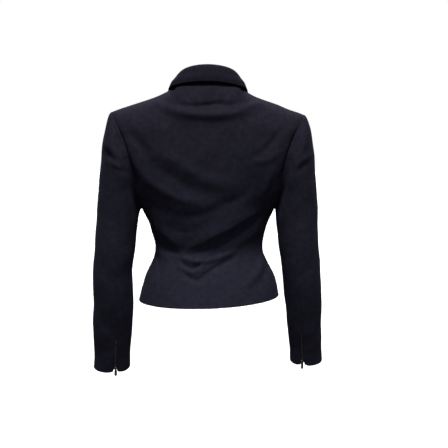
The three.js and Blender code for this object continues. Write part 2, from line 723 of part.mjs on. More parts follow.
// The leaf's outer edge, from the shoulder seam to the collar's point.
function frontLeafEdge(front) {
  const point = frontPlace(COLLAR_POINT.x, COLLAR_POINT.z);
  const shoulderU = (COLLAR.leafX - NECK.x) / (TIP.x - NECK.x);
  const { shoulder, point: atPoint } = COLLAR_FRONT.edgeRise;
  const u = mix(shoulderU, point.u, front);
  const v = mix(COLLAR_FRONT.top, point.v, front);
  return overFront(u, v, mix(shoulder, atPoint, front));
}

// In front of them it lies down along the roll line and ends at the gorge and its own point.
function frontCollar(front) {
  const { top, inner, settling, tuck, foldRise, foldRun, notchGap, notchRise } = COLLAR_FRONT;
  const v = mix(top, GORGE_V, front);
  const standing = (1 - front) ** settling;
  const roll = bodyForm("front", 0, v);
  const outwards = bodyForm("front", inner, v).sub(roll).normalize();
  outwards.lerp(vector(1, 0, 0), standing).normalize();
  const above = frontNormal(1, inner, v).lerp(vector(0, 0, 1), standing).normalize();
  const foot = roll.clone().addScaledVector(outwards, -mix(tuck, CLOTH, standing));
  foot.addScaledVector(above, SEAM);
  const foldUp = mix(CLOTH + foldRise, COLLAR.foldSideZ - NECK.z, standing);
  const foldOut = mix(foldRun, COLLAR.foldX - NECK.x + CLOTH, standing);
  const fold = foot.clone().addScaledVector(above, foldUp).addScaledVector(outwards, foldOut);
  const edge = frontLeafEdge(front);
  const leaf = fold.clone().lerp(edge, LEAF_MIDDLE);
  leaf.addScaledVector(outwards, COLLAR.belly * standing);
  const beside = frontPlace(LAPEL_NOTCH.x - notchGap.x, LAPEL_NOTCH.z + notchGap.z);
  leaf.lerp(overFront(beside.u, beside.v, notchRise), front ** 4);
  return { foot, fold, leaf, edge, outwards, above };
}

function collarSection(side, station) {
  const made = station <= 1 ? backCollar(station * quarter) : frontCollar(station - 1);
  const { foot, fold, leaf, edge, outwards, above } = made;
  const beside = (way) =>
    fold.clone().addScaledVector(outwards, way).addScaledVector(above, -COLLAR.bend * 0.7);
  const middle = foot.clone().lerp(fold, 0.5).addScaledVector(outwards, -COLLAR.hollow);
  const [inside, outside] = [beside(-COLLAR.bend * 0.6), beside(COLLAR.bend)];
  const through = [foot, middle, inside, fold, outside, leaf, edge];
  const curve = new THREE.CatmullRomCurve3(through);
  return COLLAR_PLACES.map((place) => {
    const p = curve.getPoint(place / (through.length - 1));
    p.x *= side;
    p.z += COLLAR.lean * p.x;
    p.x -= COLLAR.drift * Math.max(0, p.z - NECK.z);
    return p;
  });
}

function collarGrid() {
  const left = COLLAR_STATIONS.map((s) => collarSection(1, s));
  const right = COLLAR_STATIONS.map((s) => collarSection(-1, s)).reverse();
  return [...left, collarSection(1, 0), ...right];
}

// ---- Buttons and zip sliders --------------------------------------------------------------------
const manifold = await Module();
manifold.setup();

// A closed geometry as a solid that can be joined and cut, and back.
function solidOf(geometry) {
  const position = geometry.getAttribute("position");
  const seen = new Map();
  const points = [];
  const corner = (i) => {
    const p = [position.getX(i), position.getY(i), position.getZ(i)];
    const key = p.map((value) => value.toFixed(4)).join();
    if (!seen.has(key)) {
      seen.set(key, points.length / 3);
      points.push(...p);
    }
    return seen.get(key);
  };
  const { index } = geometry;
  const count = index ? index.count : position.count;
  const corners = Array.from({ length: count }, (_, i) => corner(index ? index.getX(i) : i));
  const triangles = [];
  for (let i = 0; i < corners.length; i += 3) {
    const [a, b, c] = corners.slice(i, i + 3);
    if (a !== b && b !== c && a !== c) triangles.push(a, b, c);
  }
  return new manifold.Manifold(
    new manifold.Mesh({
      numProp: 3,
      vertProperties: new Float32Array(points),
      triVerts: new Uint32Array(triangles),
    }),
  );
}

function geometryOf(solid) {
  const mesh = solid.getMesh();
  const geometry = new THREE.BufferGeometry();
  geometry.setAttribute("position", new THREE.BufferAttribute(mesh.vertProperties, 3));
  geometry.setIndex(new THREE.BufferAttribute(mesh.triVerts, 1));
  return geometry;
}

// A round button with a raised rim, its axis along +Z and its back at the origin.
function buttonGeometry() {
  const { radius, thick, dish, rim, rimInside, chamfer } = BUTTON;
  const profile = [
    [0, 0],
    [radius - chamfer, 0],
    [radius, rim],
    [radius, thick - dish],
    [radius - rim, thick],
    [radius - rimInside, thick - dish],
    [0, thick - dish],
  ].map(([x, y]) => new THREE.Vector2(x, y));
  return new THREE.LatheGeometry(profile, BUTTON_SIDES).rotateX(quarter);
}

// A zip's slider. X runs across the zip, -Z towards the cuff's edge and +Y out of the cloth. The
// pull's pin is at the origin.
function sliderGeometry() {
  const { width, length, thick, ear, earLength, pinHeight, pinRadius } = SLIDER;
  const plate = new THREE.BoxGeometry(width, thick, length).translate(0, -pinHeight, 0);
  const pin = new THREE.CylinderGeometry(pinRadius, pinRadius, width, PIN_SIDES);
  let solid = solidOf(plate).add(solidOf(pin.rotateZ(quarter)));
  const earX = width / 2 - ear / 2;
  for (const x of [-earX, earX]) {
    const post = new THREE.BoxGeometry(ear, pinHeight + pinRadius, earLength);
    solid = solid.add(solidOf(post.translate(x, (pinRadius * 2 - pinHeight) / 2, 0)));
  }
  return geometryOf(solid);
}

// The pull tab, hanging from the pin at the origin towards -Z.
function pullGeometry() {
  const { eye, play, neck, width, length, thick, shoulder, stem, lap, drop } = PULL;
  const hole = SLIDER.pinRadius + play;
  const ring = new THREE.Shape().absarc(0, 0, eye, 0, Math.PI * 2);
  ring.holes.push(new THREE.Path().absarc(0, 0, hole, 0, Math.PI * 2, true));
  const solid = { bevelEnabled: false };
  const barrel = new THREE.ExtrudeGeometry(ring, { ...solid, depth: neck, curveSegments: RING_SIDES });
  barrel.translate(0, 0, -neck / 2).rotateY(quarter);
  const rod = new THREE.BoxGeometry(neck, thick, stem);
  rod.translate(0, 0, lap - eye - stem / 2);
  const round = shoulder - length + width / 2; // where the tab's round end starts
  const outline = new THREE.Shape();
  outline.moveTo(-neck / 2, 0);
  outline.lineTo(neck / 2, 0);
  outline.lineTo(width / 2, -shoulder);
  outline.lineTo(width / 2, round);
  outline.absarc(0, round, width / 2, 0, -Math.PI, true);
  outline.lineTo(-width / 2, -shoulder);
  const tab = new THREE.ExtrudeGeometry(outline, { ...solid, depth: thick, curveSegments: TAB_SIDES });
  tab.rotateX(quarter).translate(0, thick / 2, -drop);
  return geometryOf(solidOf(barrel).add(solidOf(rod)).add(solidOf(tab)));
}

// ---- The garment --------------------------------------------------------------------------------
const wool = new THREE.MeshStandardMaterial({ color: 0x1b1b26, roughness: 0.95, metalness: 0 });
const horn = new THREE.MeshStandardMaterial({ color: 0x14141a, roughness: 0.4, metalness: 0 });
const metal = new THREE.MeshStandardMaterial({ color: 0x3a3836, roughness: 0.35, metalness: 0.9 });

const blazer = new THREE.Group();
function piece(name, geometry, material = wool) {
  const mesh = new THREE.Mesh(geometry, material);
  mesh.name = name;
  blazer.add(mesh);
  return mesh;
}

// A slider and its pull, on the zip's lower end, over the cloth on both sides of it.
function sliderPieces(name, zip, facing) {
  const end = lastOf(zip)[1];
  const up = zip[zip.length - 2][1].clone().sub(end).normalize();
  const across = facing.clone().cross(up).normalize();
  const outwards = vector(0, 0, 0).crossVectors(up, across);
  const height = ZIP.sink + SLIDER.seat + SLIDER.thick / 2 + SLIDER.pinHeight;
  const pin = end.clone().addScaledVector(up, SLIDER.length / 2 - SLIDER.past);
  pin.addScaledVector(outwards, height);
  const slider = piece(`zip_slider_${name}`, sliderGeometry(), metal);
  slider.quaternion.setFromRotationMatrix(new THREE.Matrix4().makeBasis(across, outwards, up));
  slider.position.copy(pin);
  const pull = piece(`zip_pull_${name}`, pullGeometry(), metal);
  pull.rotation.z = Math.atan2(across.y, across.x);
  pull.position.copy(pin);
}

function half(name, side) {
  piece(`back_${name}`, panelWall("back", side));
  piece(`front_${name}`, panelWall("front", side));
  piece(`lapel_${name}`, wall(lapelGrid(name, side), side));
  const tube = sleeveTube(name, side, armholePoints(side));
  piece(`top_sleeve_${name}`, sleeveWall(tube, side, "top"));
  piece(`under_sleeve_${name}`, sleeveWall(tube, side, "under"));
  const zip = zipGrid(tube);
  piece(`zip_${name}`, wall(zip, -side, ZIP.thick), metal);
  sliderPieces(name, zip, tube.normals[ZIP_LAST_ROW][BACK_SEAM_COLUMN]);
}

function button(number, z) {
  const { u, v } = frontPlace(0, z);
  const normal = frontNormal(-1, u, v);
  const made = piece(`button_${number}`, buttonGeometry(), horn);
  made.quaternion.setFromUnitVectors(vector(0, 0, 1), normal);
  made.position.copy(bodyPoint("front", -1, u, v).addScaledVector(normal, CLEAR));
}

half("left", 1);
half("right", -1);
piece("collar", wall(collarGrid(), -1));
BUTTON.heights.forEach((z, i) => button(i + 1, z));

export default blazer;
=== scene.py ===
"""A woman's cropped wool blazer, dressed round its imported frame.

The tables and the forms are in millimetres, as on a cutter's draft, and every mesh is made in metres:
+Z up, the front towards -Y, and +X is the wearer's left.
"""
import math

import bmesh
import bpy
import numpy as np
from bpy.props import FloatProperty, FloatVectorProperty, PointerProperty
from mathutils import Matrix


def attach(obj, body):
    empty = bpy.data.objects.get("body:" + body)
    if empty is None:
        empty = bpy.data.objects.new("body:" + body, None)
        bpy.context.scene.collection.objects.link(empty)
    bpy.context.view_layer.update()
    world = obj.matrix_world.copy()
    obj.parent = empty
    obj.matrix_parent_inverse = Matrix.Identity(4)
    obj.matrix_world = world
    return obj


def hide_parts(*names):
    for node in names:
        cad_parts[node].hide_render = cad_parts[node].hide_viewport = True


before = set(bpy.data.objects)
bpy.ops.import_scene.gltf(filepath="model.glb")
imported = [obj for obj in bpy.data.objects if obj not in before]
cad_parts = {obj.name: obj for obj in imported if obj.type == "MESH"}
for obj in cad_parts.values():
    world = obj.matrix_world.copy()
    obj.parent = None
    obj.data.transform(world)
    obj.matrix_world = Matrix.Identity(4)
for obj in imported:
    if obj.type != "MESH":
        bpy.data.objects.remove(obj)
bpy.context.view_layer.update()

bl_info = {
    "name": "Wool blazer",
    "version": (1, 0, 0),
    "blender": (4, 5, 0),
    "location": "3D View > Sidebar > Blazer",
    "description": "Builds a cropped wool blazer in the frame of its packed model",
    "category": "Object",
}

MM = 0.001

# ---- Driving dimensions, in millimetres unless a note says otherwise -------------------------------
CLOTH = 2.0  # wool with its lining
CLEAR = 0.6  # gap between layers that lie on each other
OVERLAP = 18  # how far each front runs past the centre line
BREAK_Z = -190  # where the lapels start to fold back
NECK_X, NECK_Y, NECK_Z = 68, 5, 27  # side of the neck, where the shoulder seam starts
NAPE_Y, NAPE_Z = 62, 40  # centre back of the neck seam
TIP_X, TIP_Y, TIP_Z = 209, -4, -31  # end of the shoulder seam, over the pad
SHOULDER_SAG = 5  # how far the seam dips between the neck and the pad
BUST_X, BUST_Z, BUST_RISE, BUST_SPREAD = 86, -205, 15, 47
RIPPLE = 0.45  # slight unevenness of the whole cloth

# Run and rise of the cloth where it reaches the shoulder seam, beside the neck and over the pad, and
# the share of a front's top over which the one passes into the other.
NECK_SLOPE, PAD_SLOPE = (0.6, 0.8), (1, 0.05)
FRONT_LEVELLING = 0.25

# The turned-up hem, as shares of the panel's height, and how far it stands out.
HEM_TURN, HEM_STEP, HEM_RISE = 0.072, 0.008, 0.5

# How the right front lies over the left one: its lift, how far past the lap the cloth stays flat, and
# the widths over which its creases and its lift fade, sideways and upwards.
LAP_LIFT = CLOTH + CLEAR + 0.5
LAP_MARGIN, LAP_CREASE_FADE, LAP_FADE, LAP_FADE_UP = 4, 30, 40, 50

# The collar: the fold's and the leaf's edges at centre back and at the sides.
STAND_HEIGHT = 31  # collar stand at centre back
FOLD_X, FOLD_Y, FOLD_SIDE_Y, FOLD_SIDE_Z = 61, 65, 1, 51
LEAF_X, LEAF_Y, LEAF_Z, LEAF_SIDE_Y, LEAF_SIDE_Z = 84, 76, 37.5, 2, 26
LEAF_MIDDLE, LEAF_BELLY = 0.55, 1.5  # where the leaf swells, as a share, and how far
FOLD_BEND = 4.2  # how far the stand and the leaf stand off the fold's middle
STAND_BEND, STAND_SWELL = 0.6, 0.5  # the stand's share of that bend, and how far its middle goes in
FOLD_DROP = 0.7  # how far below the fold it bends, as a share
COLLAR_LEAN, COLLAR_SHIFT = 0.015, 0.05  # it tips with the shoulders, and leans to the right
COLLAR_POINT = (99, -14)

# The collar's front, where it lies down on the roll line between the shoulder seam and the gorge.
GORGE_V = 0.915  # height on the panel, as a share, where the collar meets the lapel
COLLAR_TOP_V = 0.999  # and that of the shoulder seam
BESIDE_ROLL = 0.02  # place across the panel where the cloth's direction is read
SETTLING = 1.4  # how fast the stand lies down towards the gorge
FOOT_TUCK = 4  # how far the foot lies inside the roll line at the gorge
GORGE_FOLD_RISE, GORGE_FOLD_RUN = 3.6, 3.5  # how high and how far out the fold stands there
EDGE_LIFT_TOP, EDGE_LIFT_POINT, NOTCH_LIFT = 6, 1.4, 2.4
NOTCH_GAP_X, NOTCH_GAP_Z = 1, 2.5  # from the lapel's notch to the collar

# The leaf's pressed edge: the flare over the seam inside it, and the dip above that.
FLARE_RISE, FLARE_WIDTH, LEAF_ONLY = 1.9, 8, 6
DIP_DEPTH, DIP_PLACE, DIP_WIDTH = 0.9, 13, 5

# The lapels. The left one comes out from below the right front.
LAPEL_TIP = (106, -40)
LAPEL_NOTCH = (80, -49)
LAPEL_START = {"left": 0.125, "right": 0.02}  # share of the roll line where each starts to show
BREAK_GAP, GORGE_GAP, ROLL_GAP = 2, 1, 0.5  # from the break, the gorge and the roll line
NOTCH_SHARE = 0.6  # share of the top edge where the collar's notch is cut
LAPEL_CUT = 0.76  # where its outer edge starts to turn into the top edge
LAPEL_ROLL = 1.5  # how far its middle rises
LAPEL_CROWDING = 1.15  # power that sets its columns closer at the fold
FOLD_ANGLES = (-75, -50, -25, 0, 25, 50, 75)

# How the sleeve leaves the armhole and comes down into the arm: over the shoulder in millimetres, the
# others as shares. CAP_PROBE is how far down the arm its direction is read.
CAP_OVER, CAP_UNDER, CAP_FORWARD, CAP_DOWN, CAP_PROBE = 64, 0.55, 0.45, 0.95, 8
CAP_SETTLING = 16  # how soon below the armhole the sleeve's own creases start

# The cuffs, with their zips, and the notch in the edge below them.
ZIP_LENGTH, ZIP_WIDTH, ZIP_END, ZIP_LOWER_END = 82, 5.2, 3, 5
ZIP_LIPS = 0.55  # how far each side of the cloth stands off the middle of the zip
SLIDER_ROOM, SLIDER_FADE = 17, 6  # height above the edge from which the cloth spreads for the slider
SLIDER_GAP, SLOT_FADE = 0.3, 5
NOTCH_HEIGHT, NOTCH_SPREAD = 11, 2.4
CUFF_RISE, CUFF_RISE_HEIGHT = 4, 20  # the cuff's edge rises beside the notch
TAPE_DEPTH, TAPE_THICK, TAPE_EDGE, TAPE_COLUMNS = 1.25, 0.5, 0.2, 7
TOOTH_SIZE, TOOTH_BEVEL = (1.9, 0.85, 1.15), 0.18  # across, along and out
TOOTH_DEPTH, TOOTH_PITCH, TOOTH_SHIFT, TOOTH_BESIDE = 0.62, 1.9, 0.95, 0.42

# The buttons: radius and thickness, with the rim's roll, the four holes and the thread through them.
BUTTON_RADIUS, BUTTON_THICK, BUTTON_RIM = 10, 3.6, 1.5
BUTTON_HEIGHTS = (-206, -277, -348)
BUTTON_UNDERSIDE = [(0, 0.1), (4.5, 0.0), (7.4, 0.25)]
BUTTON_DISH = [(2.6, 0.75), (3.6, 1.15), (5.5, 1.35), (8.0, 1.4), (10, 1.4)]  # in from the rim, down
HOLE_PLACE, HOLE_RADIUS = 1.55, 0.75
SEWING_SIZE, SEWING_DEPTH, SEWING_SPREAD = (3.9, 0.55, 0.55), 1.05, 0.22
SLIT_LENGTH, SLIT_HALF, SLIT_BACK, SLIT_STEPS, SLIT_RISE = 12.5, 1.1, 1.0, 40, 0.25
SLIT_STITCH, SLIT_PITCH, SLIT_UNEVEN = (0.42, 1.9, 0.5), 0.5, 0.18
RING_WEIGHT = 100  # what a ring's height counts beside a turn, where a stitch's faces are sorted

# Radius of a piece's edge where it is sewn to another, and where the cloth is turned and pressed.
SEWN = 0.45
TURNED = 0.95
ARMHOLE_LEAN = 0.05  # least that a panel's wall leans outwards at the armhole

# Steps across the finer grids. The back's columns change at the side of the neck.
NECK_SHARE = 5 / 13
BACK_COLUMN_SHARE = 1 / 13
FRONT_COLUMN_SHARE = 1 / 10
ARMHOLE_STEP = 1 / 24
ARM_COLUMNS = 24  # places round a sleeve, from the top round the back
ARMPIT_COLUMN = 12
BACK_SEAM = 7
FRONT_SEAM = 17
PATH_STEPS = 28  # straight steps that a crease's path is followed in
TAPER = 0.7  # power that makes its ends blunter
FACING_GAIN = 1.6  # how soon the creases of one side come in where the cloth turns towards it

# Small steps, as shares, with which directions are read on the body, below the yoke and on a sleeve.
READ_STEP, YOKE_STEP, SLEEVE_STEP = 0.01, 0.004, 0.02

# How a place on a front is looked for: where it starts, its small step, and the share of each move.
SEARCH_U, SEARCH_V, SEARCH_STEP, SEARCH_PACE, SEARCH_END, SEARCH_ROUNDS = 0.3, 0.8, 0.002, 0.7, 0.99, 24

# How fine the grids are.
SKIRT_ROWS, CHEST_ROWS = 76, 92
FRONT_COLUMNS, NECK_COLUMNS, SHOULDER_COLUMNS = 64, 27, 43
CAP_ROWS, ARM_ROWS, SLEEVE_COLUMNS = 56, 104, {"top": 55, "under": 41}
CUFF_ROWS = (16, 13, 10.5, 8.5, 7, 5.5, 4.2, 3, 2, 1, 0)  # heights above the cuff's edge
SLOT_ROWS = (1.0, 0.0, -1.5, -3.0, -4.0)  # and above the top of the zip's slot
CUFF_START, ROW_ROOM = 18, 1.5  # where the even rows end, and how near to the slot's none lies
LAPEL_ROWS, LAPEL_COLUMNS = 72, 34
COLLAR_STATIONS = (40, 48)  # in front and behind
COLLAR_PLACES = (13, 17, 19)  # up the stand, over the fold and down the leaf
BUTTON_SIDES, RIM_STEPS, ZIP_STEPS = 48, 14, 60


# ---- Tables ----------------------------------------------------------------------------------------
def table(columns, rows):
    """A table as one array for each named column."""
    return {name: np.array([row[i] for row in rows], float) for i, name in enumerate(columns.split())}


# Sections of the body, from the hem to the top of the armhole. The centre lines come first, then the
# edge, which is the side seam up to the armpit and the armhole above it. sweep is the angle that a
# section turns through from the centre line to its edge, lean how far it tips to the left and shift
# how far the body hangs to the left there.
BODY = table(
    "v back_y back_z front_y front_z edge_x edge_back_y edge_front_y edge_z sweep lean shift",
    [
        (0.0, 112, -444, -119, -439, 154, -2, -2, -435, 90, -0.036, -1.5),  # hem
        (0.12, 97, -395, -118, -391, 143, -3, -3, -388, 90, -0.025, -2.5),
        (0.27, 71, -331, -110, -331, 118.5, -4, -4, -331, 90, 0, -2),  # waist
        (0.39, 80, -282, -112, -283, 126.5, -3, -3, -281, 90, 0, -0.5),
        (0.5, 93, -236, -118, -238, 145, 0, 0, -239, 90, 0, 0),  # armpit
        (0.565, 98, -203, -119, -208, 156, 34, -32, -207, 80, 0, 0),
        (0.65, 102, -158, -113, -164, 164, 57, -52, -162, 74, 0.004, 0),
        (0.73, 102, -114, -103, -124, 174, 63, -56, -116, 70, 0.01, 0),  # shoulder blades
        (0.8, 97, -72, -89, -87, 189, 54, -48, -75, 68, 0.015, 0),
    ],
)
ARMPIT_V = 0.5
YOKE_V = 0.8

# Sections of a sleeve from the upper arm to the cuff: centre, half widths, and how far the section
# tips so that its back is the lower side. left and right differ as the arms do.
ARM_COLUMN_NAMES = "z x y half_x half_y tip"
ARM = {
    "left": table(
        ARM_COLUMN_NAMES,
        [
            (-262, 199, 3, 46, 59, 4),
            (-318, 204, 6, 45, 55, 3),
            (-374, 210, 5, 43, 51, 4),  # elbow
            (-436, 210, -5, 44.5, 47, 9),
            (-497, 213, -20, 44, 44, 13),
            (-554, 216.5, -37, 41, 41, 13),
            (-600, 218.5, -49, 41, 40, 13),  # cuff
        ],
    ),
    "right": table(
        ARM_COLUMN_NAMES,
        [
            (-262, 195, 3, 46, 59, 4),
            (-318, 199, 6, 44, 55, 3),
            (-374, 205, 5, 42, 51, 4),
            (-436, 210, -5, 41.5, 46, 9),
            (-497, 214, -20, 38, 42, 13),
            (-545, 217.5, -34, 36.5, 38, 13),
            (-584, 220, -44, 36.5, 37, 13),
        ],
    ),
}

# The lapel's outer edge, from the break to its tip.
LAPEL_EDGE = table(
    "s x z",
    [(0, -14, BREAK_Z + 4), (0.25, 33, -154), (0.5, 66, -112), (0.8, 95, -66), (1, *LAPEL_TIP)],
)

# Creases, as they lie seen straight from behind or in front: rise (negative in a trough), spread to
# either side, how much softer the side on the left of the path is, and the path as x, z points.
CREASES = {
    "back": [
        # Below the collar.
        (-5, 5, 0, [(71, -5), (45, -15), (5, -14), (-22, -10), (-48, -13), (-78, -7)]),
        (8.5, 9.5, 0.15, [
            (116, -4), (88, -20), (58, -29), (15, -34),
            (-27, -34), (-65, -28), (-95, -16), (-122, -4),
        ]),
        # From the left shoulder blade across the back.
        (-4.5, 12, 0, [(183, -49), (161, -79), (137, -104), (117, -121)]),
        (3.6, 13, 0, [
            (122, -108), (90, -121), (62, -135), (32, -154),
            (3, -171), (-35, -180), (-65, -176),
        ]),
        (-3.4, 13, 0, [
            (152, -104), (126, -129), (96, -153), (66, -171),
            (35, -190), (-1, -203), (-43, -212),
        ]),
        (4.2, 11, 0.1, [
            (173, -108), (152, -140), (126, -172), (96, -193),
            (67, -208), (37, -218), (7, -224),
        ]),
        (-3, 11, 0, [
            (128, -221), (85, -241), (39, -251), (3, -242),
            (-31, -227), (-69, -210), (-90, -189), (-105, -159),
        ]),
        (-1.2, 4.5, 0, [(81, -281), (53, -285), (29, -283)]),
        # The deep fold from armpit to armpit.
        (7, 13, -0.42, [(124, -229), (108, -271), (79, -301), (51, -320)]),
        (9, 15, -0.46, [
            (53, -321), (16, -306), (-16, -289),
            (-48, -272), (-76, -255), (-101, -241),
        ]),
        (-3.2, 6, 0, [(119, -288), (100, -311), (75, -328), (51, -338)]),
        (3, 9, 0, [(119, -312), (100, -333), (80, -346)]),
        (-3.4, 6, 0, [
            (60, -337), (17, -326), (-16, -313), (-46, -297),
            (-72, -280), (-98, -262), (-121, -246), (-149, -233),
        ]),
        (4, 13, 0, [
            (-20, -338), (-46, -322), (-72, -305),
            (-98, -287), (-121, -270), (-146, -256),
        ]),
        # The small of the back.
        (6, 5.5, 0, [
            (64, -333), (47, -343), (29, -347), (10, -348),
            (-14, -343), (-37, -335), (-63, -324),
        ]),
        (-5, 3.8, 0, [(64, -345), (49, -356), (34, -361), (19, -355), (10, -348)]),
        (4.4, 4, 0, [(68, -358), (49, -363), (31, -371), (16, -364), (4, -352)]),
        (-6, 5.5, 0.3, [
            (59, -370), (42, -379), (23, -384), (8, -374),
            (-9, -363), (-33, -351), (-65, -337),
        ]),
        # The waist's sides.
        (-2.6, 5, 0, [(112, -333), (109, -349), (106, -369), (105, -389)]),
        (3.8, 8, 0, [(-114, -320), (-116, -345), (-113, -367), (-97, -385), (-80, -403)]),
        (-2.6, 7, 0, [(-127, -352), (-129, -367), (-122, -384), (-106, -403)]),
        # The right shoulder blade.
        (-3.6, 8, 0, [(-176, -54), (-152, -73), (-135, -96), (-115, -115), (-90, -125)]),
        (2, 7, 0, [(-158, -109), (-128, -130), (-98, -136)]),
        (3.4, 8, 0, [(-141, -142), (-129, -177), (-112, -215)]),
        # Along the armholes.
        (-6.4, 8, 0, [(212, -28), (199, -62), (183, -100), (170, -135), (160, -169), (153, -209)]),
        (-6.4, 8, 0, [
            (-208, -41), (-193, -73), (-180, -107),
            (-170, -143), (-162, -180), (-157, -218),
        ]),
        (3.2, 9, 0, [(234, -37), (217, -77), (202, -113), (189, -152), (179, -195)]),
        (3.2, 9, 0, [(-225, -49), (-211, -86), (-197, -122), (-187, -158), (-179, -195)]),
        # Sleeves.
        (2, 6, 0, [(230, -86), (216, -99), (196, -111)]),
        (-3.2, 6, 0, [(232, -109), (218, -118), (200, -128), (183, -139)]),
        (1.6, 5, 0, [(226, -131), (202, -139), (181, -145)]),
        (-1.6, 5, 0, [(204, -147), (183, -154), (164, -158)]),
        (3.2, 7, 0, [(-228, -114), (-206, -128), (-189, -141)]),
        (-2, 8, 0, [(-222, -135), (-202, -147), (-182, -162)]),
        (-2.0, 11, 0, [(198, -238), (190, -284), (178, -332)]),
        (-2.0, 11, 0, [(-192, -234), (-184, -280), (-174, -328)]),
        (-1.8, 13, 0, [(244, -330), (226, -372), (196, -396)]),
        (-1.8, 13, 0, [(-240, -326), (-222, -366), (-192, -392)]),
        (-1.4, 12, 0, [(238, -470), (222, -500), (200, -520)]),
        (-1.4, 12, 0, [(-240, -462), (-224, -490), (-204, -508)]),
    ],
    "front": [
        # From the top button to the bust.
        (-3.2, 10, 0, [(104, -232), (62, -250), (20, -268)]),
        (-3.2, 10, 0, [(-104, -236), (-62, -253), (-20, -270)]),
        (2.2, 9, 0, [(92, -262), (54, -272), (18, -282)]),
        (2.0, 9, 0, [(-92, -266), (-54, -276), (-18, -286)]),
        # The waist.
        (-4.5, 11, 0, [(116, -312), (66, -338), (18, -346)]),
        (-4.2, 11, 0, [(-118, -316), (-66, -341), (-20, -350)]),
        (-2.6, 9, 0, [(120, -346), (84, -368), (50, -376)]),
        (-2.6, 9, 0, [(-120, -348), (-86, -370), (-52, -380)]),
        (2.6, 12, 0, [(64, -350), (70, -386), (82, -420)]),
        (2.6, 12, 0, [(-66, -352), (-72, -388), (-84, -422)]),
        # In front of the armholes.
        (-3.2, 10, 0, [(152, -204), (130, -184), (102, -176)]),
        (-3.2, 10, 0, [(-152, -202), (-130, -184), (-104, -178)]),
        # Sleeves.
        (-4.5, 11, 0, [(168, -358), (208, -364), (248, -344)]),
        (-4.5, 11, 0, [(-166, -356), (-206, -362), (-248, -342)]),
        (-3.0, 10, 0, [(170, -390), (206, -398), (242, -380)]),
        (-3.0, 10, 0, [(-170, -388), (-206, -396), (-242, -378)]),
        (2.4, 10, 0, [(176, -376), (208, -382), (236, -368)]),
        (2.4, 10, 0, [(-176, -374), (-208, -380), (-236, -366)]),
        (-4.0, 11, 0, [(230, -102), (206, -122), (172, -152)]),
        (-4.0, 11, 0, [(-230, -102), (-206, -122), (-172, -152)]),
    ],
}


# ---- Curves and forms ------------------------------------------------------------------------------
def vec(x, y, z):
    """Points or directions from their parts, which may be numbers or arrays."""
    return np.stack(np.broadcast_arrays(x, y, z), axis=-1).astype(float)


def unit(a):
    return a / np.maximum(np.linalg.norm(a, axis=-1, keepdims=True), 1e-9)


def length_of(a):
    return np.linalg.norm(a, axis=-1, keepdims=True)


def mix(a, b, t):
    return a + (b - a) * t


def arrays(*values):
    """The values as arrays of one shape, each a copy of its own."""
    return (np.array(a, float) for a in np.broadcast_arrays(*values))


def ease(t):
    t = np.clip(t, 0, 1)
    return t * t * (3 - 2 * t)


def cubic(a, slope_a, b, slope_b, t):
    """A cubic from a to b, with the slopes at both ends."""
    return (
        (2 * t**3 - 3 * t**2 + 1) * a
        + (t**3 - 2 * t**2 + t) * slope_a
        + (3 * t**2 - 2 * t**3) * b
        + (t**3 - t**2) * slope_b
    )


def row_at(rows, key, at):
    """The rows of a table at any values of its key column, on a smooth curve through its rows."""
    keys = rows[key]
    turned = 1 if keys[1] > keys[0] else -1
    i = np.clip(np.searchsorted(turned * keys, turned * np.asarray(at, float)) - 1, 0, len(keys) - 2)
    span = keys[i + 1] - keys[i]
    t = (at - keys[i]) / span

    def slope(k, values):
        low = np.maximum(k - 1, 0)
        high = np.minimum(k + 1, len(keys) - 1)
        return (values[high] - values[low]) / (keys[high] - keys[low]) * span

    return {
        name: cubic(values[i], slope(i, values), values[i + 1], slope(i + 1, values), t)
        for name, values in rows.items()
    }


def spline(points, at):
    """Centripetal Catmull-Rom curves. points is (..., n, 3) and at a place on them from 0 to n - 1."""
    before = 2 * points[..., :1, :] - points[..., 1:2, :]
    after = 2 * points[..., -1:, :] - points[..., -2:-1, :]
    p = np.concatenate([before, points, after], axis=-2)
    i = min(int(at), points.shape[-2] - 2)
    t = at - i
    p0, p1, p2, p3 = (p[..., i + k, :] for k in range(4))
    d0, d1, d2 = (np.maximum(length_of(b - a) ** 0.5, 1e-4) for a, b in ((p0, p1), (p1, p2), (p2, p3)))
    slope_1 = ((p1 - p0) / d0 - (p2 - p0) / (d0 + d1) + (p2 - p1) / d1) * d1
    slope_2 = ((p2 - p1) / d1 - (p3 - p1) / (d1 + d2) + (p3 - p2) / d2) * d1
    return cubic(p1, slope_1, p2, slope_2, t)


def smooth_path(points):
    """A crease's path as many short steps."""
    line = np.array([(x, 0, z) for x, z in points], float)
    places = np.linspace(0, len(points) - 1, PATH_STEPS + 1)
    return np.array([spline(line, place) for place in places])[:, [0, 2]]


def crease_lift(points, rise, spread, skew, x, z):
    """How far one crease lifts the cloth at x, z. It fades out towards both ends of its path."""
    path = smooth_path(points)
    start, step = path[:-1], np.diff(path, axis=0)
    size = np.hypot(*step.T)
    off_x = x[..., None] - start[:, 0]
    off_z = z[..., None] - start[:, 1]
    along = np.clip((off_x * step[:, 0] + off_z * step[:, 1]) / size**2, 0, 1)
    miss_x = off_x - along * step[:, 0]
    miss_z = off_z - along * step[:, 1]
    distance = np.hypot(miss_x, miss_z)
    nearest = distance.argmin(axis=-1)[..., None]
    distance = np.take_along_axis(distance, nearest, -1)[..., 0]
    run = np.take_along_axis(along, nearest, -1)[..., 0] + nearest[..., 0]
    cross = step[:, 0] * miss_z - step[:, 1] * miss_x
    on_left = np.take_along_axis(cross, nearest, -1)[..., 0] > 0
    width = spread * np.where(on_left, 1 + skew, 1 - skew)
    taper = np.sin(np.pi * np.clip(run / len(start), 0, 1)) ** TAPER
    return rise * taper * np.exp(-((distance / width) ** 2))


